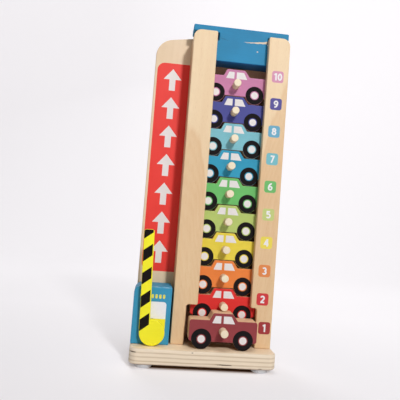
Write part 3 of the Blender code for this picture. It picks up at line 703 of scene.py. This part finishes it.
# A flat outline's two directions, and the one into the board
FACING_FRONT = ((1, 0, 0), (0, 0, 1), (0, 1, 0))
FACING_UP = ((1, 0, 0), (0, 1, 0), (0, 0, -1))
FACING_DOWN = ((1, 0, 0), (0, -1, 0), (0, 0, 1))


def arc(middle, radius, start, end):
    """Points middle + radius * (cos t, sin t) for t from start to end. Two radii make it an oval's arc."""
    turn = np.linspace(start, end, max(2, math.ceil(abs(end - start) / ARC_CHORD)) + 1)
    return np.asarray(middle) + radius * np.stack((np.cos(turn), np.sin(turn)), -1)


def outline(corners):
    """A closed outline run anticlockwise through corners (u, v, radius). Each corner is an arc that touches
    both its sides: middle + radius * (cos t, sin t)."""
    stretches = []
    for index, (u, v, radius) in enumerate(corners):
        corner = np.array((u, v))
        back = np.array(corners[index - 1][:2]) - corner
        ahead = np.array(corners[(index + 1) % len(corners)][:2]) - corner
        back = back / np.linalg.norm(back)
        ahead = ahead / np.linalg.norm(ahead)
        half = math.acos(float(back @ ahead)) / 2
        inner = (back + ahead) / np.linalg.norm(back + ahead)
        middle = corner + inner * radius / math.sin(half)
        first = corner + back * radius / math.tan(half) - middle
        last = corner + ahead * radius / math.tan(half) - middle
        start = math.atan2(first[1], first[0])
        sweep = (math.atan2(last[1], last[0]) - start + math.pi) % (2 * math.pi) - math.pi
        stretches.append(arc(middle, radius, start, start + sweep))
    return np.concatenate(stretches)


def rectangle(low, high, *radii):
    """A box's outline, run anticlockwise from its lowest corner, with one radius or one for each corner."""
    corners = ((low[0], low[1]), (high[0], low[1]), (high[0], high[1]), (low[0], high[1]))
    return outline([(*corner, radius) for corner, radius in zip(corners, radii * (4 // len(radii)))])


def inward(path, closed=True):
    """How each point of an anticlockwise path moves for an inset of one, which is to its left: the sum of
    its two sides' normals over one plus the cosine between them."""
    side = np.roll(path, -1, 0) - path
    if not closed:
        side[-1] = side[-2]
    side = side / np.linalg.norm(side, axis=1, keepdims=True)
    after = np.stack((-side[:, 1], side[:, 0]), -1)
    before = np.roll(after, 1, 0)
    if not closed:
        before[0] = after[0]
    return (before + after) / (1 + (before * after).sum(1, keepdims=True))


def rounded_section(thickness, rounding):
    """A board's edge as (inset, depth): a narrow flat rim, a quarter round at the front, the side, and
    the same again at the back."""
    turn = np.linspace(0, math.pi / 2, EDGE_CHORDS + 1)
    inset = rounding * (1 - np.sin(turn))
    depth = rounding * (1 - np.cos(turn))
    rim = rounding + FLAT_RIM
    inset = np.concatenate(([rim], inset, inset[::-1], [rim]))
    depth = np.concatenate(([0.0], depth, thickness - depth[::-1], [thickness]))
    return inset, depth


def grid_faces(rows, columns, close_rows=False, close_columns=True):
    """The quads of a grid, which may close on itself along its rows and its columns, facing out."""
    row, column = np.meshgrid(np.arange(rows if close_rows else rows - 1),
                              np.arange(columns if close_columns else columns - 1), indexing="ij")
    below = (row + 1) % rows
    right = (column + 1) % columns
    corners = ((row, column), (below, column), (below, right), (row, right))
    return np.stack([(down * columns + across).ravel() for down, across in corners], -1).tolist()


def placed(flat, depth, front, facing):
    """Points in space from flat points (u, v), their depths behind the front, and a facing."""
    across, up, behind = (np.array(axis) for axis in facing)
    flat = np.asarray(flat)
    return flat[..., :1] * across + flat[..., 1:] * up + (np.asarray(depth)[..., None] + front) * behind


def solid(name, points, faces):
    """A mesh in place, as an object of its own."""
    mesh = bpy.data.meshes.new(name)
    mesh.from_pydata(np.asarray(points).reshape(-1, 3) * MM, [], faces)
    mesh.validate()
    piece = bpy.data.objects.new(name, mesh)
    bpy.context.scene.collection.objects.link(piece)
    return piece


def finished(piece, material, body, slot, *nodes):
    """Makes a solid one of the toy's pieces: shaded, in its material, riding on its body, and standing for
    the parts of those nodes."""
    piece.data.materials.clear()
    piece.data.materials.append(material)
    piece.data.shade_smooth()
    piece.data.set_sharp_from_angle(angle=SHARP_ANGLE)
    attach(piece, body)
    if nodes:
        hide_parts(*nodes)
    return piece


def slab(name, path, front, thickness, rounding, facing=FACING_FRONT):
    """A board: its outline carried round a rounded section. Point (j, i) is outline point i moved in by
    section j's inset and set back by its depth, and a flat face closes the front and the back."""
    inset, depth = rounded_section(thickness, rounding)
    rings = path + inward(path) * inset[:, None, None]
    points = placed(rings, np.broadcast_to(depth[:, None], rings.shape[:2]), front, facing)
    rows, columns = len(inset), len(path)
    front_face = list(range(columns))
    back_face = list(range((rows - 1) * columns, rows * columns))[::-1]
    return solid(name, points, grid_faces(rows, columns) + [front_face, back_face])


def board(name, node, path, rounding):
    """A slab as deep as the part that it stands for."""
    low, high = box(node)
    return slab(name, path, low[1], high[1] - low[1], rounding)


def turned(name, profile, centre, upright):
    """A turned solid: (r, h) points, run down the outer side, carried round an axis as
    centre + r * (cos t, sin t) + h * axis. Points of no radius close as poles."""
    turn = np.linspace(0, 2 * math.pi, TURNED_SIDES, endpoint=False)
    profile = np.array(profile, float)
    radius = np.broadcast_to(profile[:, :1], (len(profile), TURNED_SIDES))
    return spun(name, radius, profile[:, 1], turn, centre, upright)


def spun(name, radius, height, turn, centre, upright):
    """A solid whose radius may change with both its height and its turn, merged where it has none."""
    axis = np.array(upright, float)
    across = np.array((1.0, 0.0, 0.0))
    up = np.cross(axis, across)
    spoke = np.cos(turn)[:, None] * across + np.sin(turn)[:, None] * up
    points = np.asarray(centre, float) + radius[..., None] * spoke + np.reshape(height, (-1, 1, 1)) * axis
    piece = solid(name, points, grid_faces(len(radius), len(turn)))
    shape = bmesh.new()
    shape.from_mesh(piece.data)
    bmesh.ops.remove_doubles(shape, verts=shape.verts, dist=SAME_POINT * MM)
    shape.to_mesh(piece.data)
    shape.free()
    return piece


def bored(piece, cutters):
    """Cuts solids out of a piece and takes the cutters away."""
    for cutter in cutters:
        cut = piece.modifiers.new("bore", "BOOLEAN")
        cut.operation = "DIFFERENCE"
        cut.solver = "EXACT"
        cut.object = cutter
    bpy.context.view_layer.update()
    result = piece.evaluated_get(bpy.context.evaluated_depsgraph_get())
    mesh = bpy.data.meshes.new_from_object(result)
    piece.modifiers.clear()
    piece.data = mesh
    for cutter in cutters:
        bpy.data.objects.remove(cutter, do_unlink=True)
    return piece


def car_path():
    """A car from the side, run anticlockwise: wheels, belly, rounded ends, hood and cabin."""
    dip = math.asin((WHEEL - BELLY) / WHEEL)
    wheels = [arc((x, WHEEL), WHEEL, math.pi + dip, 2 * math.pi - dip) for x in (-AXLE_HALF, AXLE_HALF)]
    body = outline(((TAIL, BELLY, CAR_CORNER), (TAIL, HOOD, CAR_CORNER),
                    (CABIN_REAR[0], HOOD, CABIN_CORNER / 2), (CABIN_REAR[1], CABIN_TOP, CABIN_CORNER),
                    (CABIN_FRONT[1], CABIN_TOP, CABIN_CORNER), (CABIN_FRONT[0], HOOD, CABIN_CORNER / 2),
                    (-NOSE, HOOD, CAR_CORNER), (-NOSE, BELLY, CAR_CORNER)))
    return np.concatenate((body, *wheels))


def make_cars():
    """Ten cars, each a board in a finish of its own, with its peg."""
    path = car_path()
    peg_wood = dowel_wood("peg_wood")
    for number in range(1, 11):
        body = f"car_{number}"
        low = box(body)[0]
        middle = low[0] + NOSE
        car = board(f"toy_car_{number}", body, path + (middle, low[2]), CAR_ROUND)
        finish = car_paint(f"car_{number}_print", number, middle, low[2], low[1])
        finished(car, finish, body, f"car_{number}_paint", body)
        make_peg(number, peg_wood)


def make_peg(number, material):
    """A dowel with its outer edge rounded, standing out of its car."""
    node = f"car_peg_{number}"
    low, high = box(node)
    radius = (high[0] - low[0]) / 2
    length = high[1] - low[1]
    tip = arc((radius - PEG_ROUND, length - PEG_ROUND), PEG_ROUND, math.pi / 2, 0.0)
    profile = [(0, length), (radius - PEG_ROUND - FLAT_RIM, length), *tip, (radius, 0), (0, 0)]
    middle = (low + high) / 2
    peg = turned(f"peg_{number}", profile, (middle[0], high[1], middle[2]), (0, -1, 0))
    finished(peg, material, f"car_{number}", "dowel_wood", node)


def make_tower():
    """Posts, side bars and rear board."""
    left_low, left_high = box("front_post_left")
    right_low, right_high = box("front_post_right")
    bottom = left_low[2]
    top = left_high[2]
    lintel = BASE_TOP + EXIT_HEIGHT
    jamb = box("side_bar_left")[1][0] - EXIT_REVEAL_LEFT
    slot = left_high[0]
    outer = left_low[0]
    left = ((outer, bottom, SQUARE_CORNER), (jamb, bottom, SQUARE_CORNER), (jamb, lintel, EXIT_CORNER),
            (slot, lintel, SLOT_CORNER), (slot, top, SLOT_CORNER), (outer, top, POST_CORNER))
    jamb = box("side_bar_right")[0][0] - EXIT_LIP_RIGHT
    slot = right_low[0]
    outer = right_high[0]
    right = ((jamb, bottom, SQUARE_CORNER), (outer, bottom, SQUARE_CORNER), (outer, top, POST_CORNER),
             (slot, top, SLOT_CORNER), (slot, lintel, SLOT_CORNER), (jamb, lintel, EXIT_CORNER))
    for side, corners, seed, figure in (("left", left, 4.0, LEFT_FIGURE),
                                        ("right", right, 21.0, RIGHT_FIGURE)):
        node = f"front_post_{side}"
        wood = plain_board(f"post_{side}_wood", seed, figure=figure)
        post = board(f"post_{side}", node, outline(corners), BOARD_ROUND)
        finished(post, wood, "tower", "board_wood", node)
    small = BAR_ROUND + 0.1
    for side, seed, tops in (("left", 66.0, (small, POST_CORNER)), ("right", 75.0, (POST_CORNER, small))):
        node = f"side_bar_{side}"
        low, high = box(node)
        wood = plain_board(f"bar_{side}_wood", seed, pale=(226, 192, 150), deep=(206, 166, 122))
        bar = board(f"bar_{side}", node, rectangle(low[::2], high[::2], small, small, *tops), BAR_ROUND)
        finished(bar, wood, "tower", "board_wood", node)
    low, high = box("back_board")
    corners = ((low[0], low[2], SQUARE_CORNER), (high[0], low[2], SQUARE_CORNER),
               (high[0], high[2], POST_CORNER), (left_low[0], high[2], SQUARE_CORNER),
               (low[0], high[2] - WING_DROP, WING_CORNER))
    rear = board("rear_board", "back_board", outline(corners), BOARD_ROUND)
    finished(rear, sign_board("sign_board_wood"), "tower", "board_wood", "back_board")


def nodes_named(start):
    """The parts whose names start alike, in order."""
    return sorted(name for name in frame["nodes"] if name.startswith(start))


def lowest_middle(low, high):
    """The middle of a box's lower face."""
    return np.array((*(low + high)[:2] / 2, low[2]))


def make_base():
    """The plywood base, faced up and countersunk from below for its screws."""
    low, high = box("base_plate")
    path = rectangle(low, high, BASE_CORNER)
    base = slab("base", path, -high[2], high[2] - low[2], BASE_ROUND, FACING_UP)
    cutters = []
    for node in nodes_named("base_screw_"):
        screw_low, screw_high = box(node)
        mouth = (screw_high[0] - screw_low[0]) / 2 + SCREW_CLEARANCE
        hole = SCREW_SHANK + SCREW_CLEARANCE
        past = SCREW_SUNK + SCREW_CLEARANCE
        through = high[2] - screw_low[2] + SCREW_CLEARANCE
        profile = ((0, through), (hole, through), (hole, SCREW_HEAD), (mouth, 0), (mouth, -past),
                   (0, -past))
        cutters.append(turned(f"{node}_hole", profile, lowest_middle(screw_low, screw_high), (0, 0, 1)))
    finished(bored(base, cutters), plywood("base_plywood"), "tower", "plywood", "base_plate")


def make_screws():
    """Wood screws: r(h, t) is the head's cone, the shank and the tip, plus a thread that climbs a pitch in
    each turn, with a cross cut into the head."""
    steel = screw_steel("zinc_steel")
    turn = np.linspace(0, 2 * math.pi, TURNED_SIDES // 2, endpoint=False)
    for node in nodes_named("base_screw_"):
        low, high = box(node)
        head = (high[0] - low[0]) / 2
        length = high[2] - low[2]
        core = SCREW_SHANK - THREAD_DEPTH
        height = np.concatenate(([length], np.linspace(length, SCREW_HEAD, SHANK_STEPS), [0.0, 0.0]))
        radius = np.interp(height, (0.0, SCREW_HEAD, length - SCREW_TIP, length), (head, core, core, 0.0))
        radius[0] = radius[-1] = 0.0
        phase = height[:, None] / THREAD_PITCH - turn / (2 * math.pi)
        ridge = (1 - np.abs(2 * (phase % 1.0) - 1)) ** 3 * THREAD_DEPTH
        stages = (SCREW_HEAD, SCREW_HEAD + THREAD_RUN_OUT, length - SCREW_TIP, length)
        reach = np.interp(height, stages, (0, 1, 1, 0))
        radius = radius[:, None] + ridge * reach[:, None]
        place = lowest_middle(low, high)
        screw = spun(node.replace("base_", ""), radius, height, turn, place, (0, 0, 1))
        a, b = CROSS_HALF, CROSS_SLOT
        cross = np.array(((b, b), (b, a), (-b, a), (-b, b), (-a, b), (-a, -b), (-b, -b), (-b, -a), (b, -a),
                          (b, -b), (a, -b), (a, b)))
        recess = slab(f"{node}_cross", cross + (place[0], -place[1]), low[2] - CROSS_DEPTH,
                      2 * CROSS_DEPTH, CROSS_SLOT / 4, FACING_DOWN)
        finished(bored(screw, [recess]), steel, "tower", "screw_steel", node)


def make_bumpers():
    """Clear bumpers under the base's corners: a wide brim against the wood, and a tapered rounded foot."""
    rubber = clear_rubber("clear_bumper_rubber")
    for node in nodes_named("foot_"):
        low, high = box(node)
        tall = high[2] - low[2]
        brim = (high[0] - low[0]) / 2
        tip = arc((BUMPER_TIP - BUMPER_ROUND, BUMPER_ROUND), BUMPER_ROUND, 0.0, -math.pi / 2)
        profile = [(0, tall), (brim, tall), (brim, tall - BUMPER_BRIM), *tip, (0, 0)]
        bumper = turned(node.replace("foot_", "bumper_"), profile, lowest_middle(low, high), (0, 0, 1))
        finished(bumper, rubber, "tower", "clear_bumper", node)


def make_roof():
    """The roof block: a bar, a neck between two kerfs of unlike depth, and a lower block."""
    low, high = box("roof_block")
    inner_low = box("side_bar_left")[1][0] + ROOF_SIDE_PLAY
    inner_high = box("side_bar_right")[0][0] - ROOF_SIDE_PLAY
    neck_low = inner_low + ROOF_KERF_LEFT
    neck_high = inner_high - ROOF_KERF_RIGHT
    shelf = low[2] + ROOF_LOWER
    under = high[2] - ROOF_BAR
    corners = ((inner_low, low[2]), (inner_high, low[2]), (inner_high, shelf), (neck_high, shelf),
               (neck_high, under), (high[0], under), (high[0], high[2]), (low[0], high[2]),
               (low[0], under), (neck_low, under), (neck_low, shelf), (inner_low, shelf))
    path = outline([(*corner, SQUARE_CORNER) for corner in corners])
    roof = board("roof", "roof_block", path, BOARD_ROUND)
    finished(roof, roof_paint("roof_blue"), "roof_block", "blue_paint", "roof_block")


def arm_pivot():
    """The point that the gate arm turns about."""
    return np.array(next(j for j in frame["joints"] if j["name"] == "gate_arm_swing")["pos_m"]) / MM


def make_booth():
    """The ticket booth, bored for the gate arm's dowel, with a well for its retainer from behind."""
    low, high = box("ticket_booth")
    pivot = arm_pivot()
    path = rectangle(low[::2], high[::2], SQUARE_CORNER, SQUARE_CORNER, SLOT_CORNER, BOOTH_CORNER)
    booth = board("booth", "ticket_booth", path, BOARD_ROUND)
    well = high[1] - low[1] - PIVOT_BORE_LENGTH
    past = 1.0
    profile = ((0, well + PIVOT_BORE_LENGTH + past), (PIVOT_BORE, well + PIVOT_BORE_LENGTH + past),
               (PIVOT_BORE, well), (RETAINER_WELL, well), (RETAINER_WELL, -past), (0, -past))
    bore = turned("booth_bore", profile, (pivot[0], high[1], pivot[2]), (0, -1, 0))
    finished(bored(booth, [bore]), booth_paint("booth_blue"), "tower", "blue_paint", "ticket_booth")


def make_arm():
    """The gate arm: a round hub and a bar that leaves it at its left side, leaning a little to the left."""
    pivot = arm_pivot()
    right = ARM_WIDTH - HUB
    tips = [arc((x, ARM_LENGTH - ARM_TIP), ARM_TIP, start, start + math.pi / 2)
            for x, start in ((right - ARM_TIP, 0.0), (ARM_TIP - HUB, math.pi / 2))]
    hub = arc((0, 0), HUB, math.pi, 2 * math.pi + math.acos(right / HUB))
    along = np.array((math.cos(ARM_LEAN), math.sin(ARM_LEAN)))
    lean = np.stack((along, (-along[1], along[0])))
    path = np.concatenate((*tips, hub)) @ lean + (pivot[0], pivot[2])
    arm = board("arm", "gate_arm", path, ARM_ROUND)
    finished(arm, arm_paint("arm_yellow", pivot), "gate_arm", "yellow_paint", "gate_arm")


def make_labels():
    """Ten printed labels up the right post, each with its plain number."""
    front = box("front_post_right")[0][1]
    ink = white_ink("number_ink")
    half = LABEL / 2
    for number in range(1, 11):
        x = LABEL_1_X if number == 1 else LABEL_X
        z = BASE_TOP + LABEL_1_UP + LABEL_PITCH * (number - 1)
        path = rectangle((x - half, z - half), (x + half, z + half), LABEL_CORNER)
        label = slab(f"label_{number}", path, front - INK, INK * 2, INK / 2)
        print_ink = label_paint(f"label_{number}_ink", LABEL_PAINT[number - 1])
        finished(label, print_ink, "tower", "board_wood")
        finished(number_solid(number, x, z, front - INK * 1.5), ink, "tower", "board_wood")


def degrees(middle, radius, start, end):
    """An arc by its angles in degrees."""
    return arc(middle, radius, math.radians(start), math.radians(end))


def digit_strokes(digit):
    """A bold digit as the middle lines of its strokes, each open or closed on itself, about its centre."""
    tall = DIGIT
    end = DIGIT + STROKE
    if digit in (6, 9):
        ring = degrees((0, -1.4), (1.75, 1.75), 0, 354)
        tail = degrees((1.2, -1.4), (2.95, 4.6), 82, 180)
        side = 1 if digit == 6 else -1
        return [(ring * side, True), (tail * side, False)]
    strokes = {
        0: [(degrees((0, 0), (1.7, tall), 0, 354), True)],
        1: [([(0.45, -end), (0.45, end)], False), ([(-1.5, 2.0), (0.45, 3.5)], False)],
        2: [(np.concatenate((degrees((0, 1.45), (1.7, 1.7), 168, -32), [(-1.5, -tall)])), False),
            ([(-2.1, -tall), (2.1, -tall)], False)],
        3: [(degrees((-0.1, 1.6), (1.6, 1.55), 152, -90), False),
            (degrees((-0.1, -1.5), (1.75, 1.65), 90, -152), False)],
        4: [([(1.0, -end), (1.0, end)], False), ([(0.8, 3.6), (-1.9, -1.5), (2.4, -1.5)], False)],
        5: [([(1.7, tall), (-1.3, tall), (-1.45, 0.1)], False),
            (degrees((-0.05, -1.2), (1.95, 1.95), 132, -146), False)],
        7: [([(-1.9, tall), (1.75, tall), (-0.7, -end)], False)],
        8: [(degrees((0, 1.7), (1.45, 1.45), 0, 354), True),
            (degrees((0, -1.45), (1.7, 1.7), 0, 354), True)],
    }
    return strokes[digit]


def number_solid(number, x, z, front):
    """A number's strokes as thin ribbons. Point (j, i) is point i of a stroke's line, moved half a width to
    one side or the other and to the front or the back by corner j of its section."""
    digits = [int(digit) for digit in str(number)]
    points = []
    faces = []
    for place, digit in enumerate(digits):
        middle = x + (2 * place - len(digits) + 1) * TEN_SPREAD
        for line, closed in digit_strokes(digit):
            line = np.array(line, float)
            aside = np.array((-STROKE, -STROKE, STROKE, STROKE))
            depth = np.array((0.0, INK, INK, 0.0)) - 0.01 * len(points)
            rings = line + inward(line, closed) * aside[:, None, None] + (middle, z)
            first = sum(len(part) for part in points)
            points.append(placed(rings, np.broadcast_to(depth[:, None], rings.shape[:2]), front,
                                 FACING_FRONT).reshape(-1, 3))
            count = len(line)
            quads = grid_faces(4, count, True, closed)
            if not closed:
                quads += [[0, 3 * count, 2 * count, count],
                          [count - 1, 2 * count - 1, 3 * count - 1, 4 * count - 1]]
            faces += [[first + corner for corner in quad] for quad in quads]
    return solid(f"number_{number}", np.concatenate(points), faces)


def dress_nodes():
    """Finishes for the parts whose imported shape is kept."""
    finishes = {"arm_pivot_dowel": dowel_wood("pivot_dowel_wood"), "arm_washer": nylon("washer_nylon"),
                "pivot_retainer_washer": nylon("retainer_nylon"),
                "pivot_retainer_screw": screw_steel("retainer_steel")}
    for name, material in finishes.items():
        node = frame["nodes"][name]
        for place in range(len(node.material_slots)):
            node.material_slots[place].material = material


# Studio, in metres: the sweep's floor, curve and wall
SWEEP_FRONT = -4.0
SWEEP_BACK = 1.6
SWEEP_RADIUS = 0.6
SWEEP_HEIGHT = 4.0
SWEEP_HALF_WIDTH = 4.0
SWEEP_CHORDS = 24

# How the white shows: the level of its floor and wall, and how much that grows in each millimetre to the
# right, to the back and up, within limits. Of that a share is lit and takes the toy's shadow: so much all
# over, more by the toy's base, halved in so many millimetres, and so much light falls on it
FLOOR_LEVEL = 0.812
WALL_LEVEL = 0.80
SEEN_RIGHTWARD = 0.00018
SEEN_BACKWARD = 0.00025
SEEN_UPWARD = 0.00009
SIDE_LIMIT = 300.0
FRONT_LIMIT = -200.0
BACK_LIMIT = 300.0
WALL_FROM = 700.0
SHADOW_SHARE = 0.30
CONTACT_SHARE = 0.45
CONTACT_REACH = 24.0
FLOOR_LIGHT = 0.75
WALL_LIGHT = 0.36

# Lamp, world and camera
KEY_AZIMUTH = math.radians(16.0)
KEY_ELEVATION = math.radians(30.0)
KEY_DISTANCE = 2.4
KEY_SIZE = 0.28
KEY_POWER = 35.0
TOP_PLACE = (0.0, -0.3, 1.7)
TOP_SIZE = 0.9
TOP_POWER = 6.5
BACK_PLACE = (-0.35, 1.15, 1.2)
BACK_SIZE = 0.7
BACK_POWER = 8.0
WORLD_LIGHT = 0.15
WORLD_GLOSS = 0.30
CAMERA_PLACE = (-0.06423, -0.52487, 0.14562)
CAMERA_YAW = math.radians(-5.704)
CAMERA_UP = math.radians(2.973)
CAMERA_ROLL = math.radians(4.369)
CAMERA_LENS = 43.36

# The sweep's colours. The painted shade under the base begins just outside an inset of its outline, and is
# full well inside it
STUDIO_TINT = (255, 252, 255)
UNDER_PAINTED_SHADE = (126, 94, 70)
UNDER_INSET = (13.0, 0.5)
UNDER_LIGHT = 1.0
UNDER_DARK = -9.0
BOUNCE = (226, 224, 225)
BLACK = (0, 0, 0)
WHITE = (255, 255, 255)


def studio_white(name):
    """The white sweep: plain white to the light that bounces off it, and to the camera a white of its own
    level, a share of which takes the toy's shadow, and a painted deep shade under the toy's base."""
    finish = Finish(name, 1.0, Specular_IOR_Level=0.0, Emission_Strength=1.0)
    wall = finish.rise(finish.y, BACK_LIMIT, WALL_FROM)
    rightward = limited(finish.x, -SIDE_LIMIT, SIDE_LIMIT)
    backward = limited(finish.y, FRONT_LIMIT, BACK_LIMIT)
    floor_level = backward * SEEN_BACKWARD + FLOOR_LEVEL
    wall_level = finish.z * SEEN_UPWARD + WALL_LEVEL
    level = rightward * SEEN_RIGHTWARD + floor_level * (1 - wall) + wall_level * wall
    low, high = box("base_plate")
    middle = (low + high)[:2] / 2
    half = (high - low)[:2] / 2
    away = rounded_box(finish.x, finish.y, middle, half, BASE_CORNER).math("MAXIMUM", 0.0)
    share = finish.math("POWER", 0.5, away / CONTACT_REACH) * CONTACT_SHARE + SHADOW_SHARE
    within = rounded_box(finish.x, finish.y, middle, half - UNDER_INSET, BASE_CORNER)
    # Painted shade: under the base the floor turns dark brown and gives no glow.
    under = finish.rise(within, UNDER_LIGHT, UNDER_DARK)
    light = FLOOR_LIGHT - wall * (FLOOR_LIGHT - WALL_LIGHT)
    lit = finish.mix(under, finish.mix(share, BLACK, STUDIO_TINT), UNDER_PAINTED_SHADE)
    finish.fill(finish.shader.inputs["Base Color"], lit)
    glow = finish.mix((level - share * light) * (1 - under), BLACK, STUDIO_TINT)
    finish.fill(finish.shader.inputs["Emission Color"], glow)
    shown = Value(finish, finish.shader.outputs[0])
    bounced = finish.node("BsdfDiffuse", {}, {"Color": paint(*BOUNCE)})
    both = finish.node("MixShader", {}, {0: finish.seen(), 1: bounced, 2: shown})
    finish.fill(finish.tree.nodes["Material Output"].inputs["Surface"], both)
    return finish.material


def make_sweep():
    """The floor and backdrop as one sheet: a profile of floor, quarter round and wall, carried across."""
    turn = np.linspace(0, math.pi / 2, SWEEP_CHORDS + 1)
    y = np.concatenate(([SWEEP_FRONT], SWEEP_BACK - SWEEP_RADIUS * (1 - np.sin(turn)), [SWEEP_BACK]))
    z = np.concatenate(([0.0], SWEEP_RADIUS * (1 - np.cos(turn)), [SWEEP_HEIGHT]))
    x = np.array((-SWEEP_HALF_WIDTH, SWEEP_HALF_WIDTH))
    points = np.stack(np.broadcast_arrays(x[None, :], y[:, None], z[:, None]), -1).reshape(-1, 3)
    row = np.arange(len(y) - 1)
    faces = np.stack((row * 2, row * 2 + 1, row * 2 + 3, row * 2 + 2), -1).tolist()
    sweep = solid("sweep", points / MM, faces)
    sweep.data.shade_smooth()
    sweep.data.materials.append(studio_white("studio_white"))


def lamp(name, place, target, size, power):
    """A round lamp that shines at a target."""
    data = bpy.data.lights.new(name, "AREA")
    data.shape = "DISK"
    data.size = size
    data.energy = power
    made = bpy.data.objects.new(name, data)
    made.location = place
    made.rotation_euler = (Vector(place) - target).to_track_quat("Z", "Y").to_euler()
    bpy.context.scene.collection.objects.link(made)


def make_light():
    """A key lamp to the front right, broad soft ones overhead and behind, and an even world."""
    low, high = cad_box
    middle = (low + high) / 2
    toward = Vector((math.sin(KEY_AZIMUTH) * math.cos(KEY_ELEVATION),
                     -math.cos(KEY_AZIMUTH) * math.cos(KEY_ELEVATION), math.sin(KEY_ELEVATION)))
    lamp("key", middle + toward * KEY_DISTANCE, middle, KEY_SIZE, KEY_POWER)
    lamp("overhead", TOP_PLACE, middle, TOP_SIZE, TOP_POWER)
    lamp("rear", BACK_PLACE, middle, BACK_SIZE, BACK_POWER)
    world = bpy.data.worlds.new("studio")
    world.use_nodes = True
    sky = Nodes(world.node_tree)
    glossy = sky.node("LightPath", output="Is Glossy Ray")
    lit, seen = (sky.node("Background", {}, {"Color": paint(*WHITE), "Strength": strength})
                 for strength in (WORLD_LIGHT, 1.0 - glossy * (1 - WORLD_GLOSS)))
    both = sky.node("MixShader", {}, {0: sky.seen(), 1: lit, 2: seen})
    sky.fill(world.node_tree.nodes["World Output"].inputs["Surface"], both)
    bpy.context.scene.world = world
    bpy.context.scene.view_settings.view_transform = "Standard"


def make_camera():
    """The photograph's view, turned about the vertical, then up, then about its own line of sight."""
    data = bpy.data.cameras.new("camera")
    data.lens = CAMERA_LENS
    data.sensor_width = 36.0
    data.clip_start = 0.01
    camera = bpy.data.objects.new("camera", data)
    turn = (Matrix.Rotation(CAMERA_YAW, 4, "Z") @ Matrix.Rotation(math.pi / 2 + CAMERA_UP, 4, "X")
            @ Matrix.Rotation(CAMERA_ROLL, 4, "Z"))
    camera.matrix_world = Matrix.Translation(CAMERA_PLACE) @ turn
    bpy.context.scene.collection.objects.link(camera)
    bpy.context.scene.camera = camera


make_base()
make_screws()
make_bumpers()
make_tower()
make_roof()
make_booth()
make_arm()
make_cars()
make_labels()
dress_nodes()
make_sweep()
make_light()
make_camera()
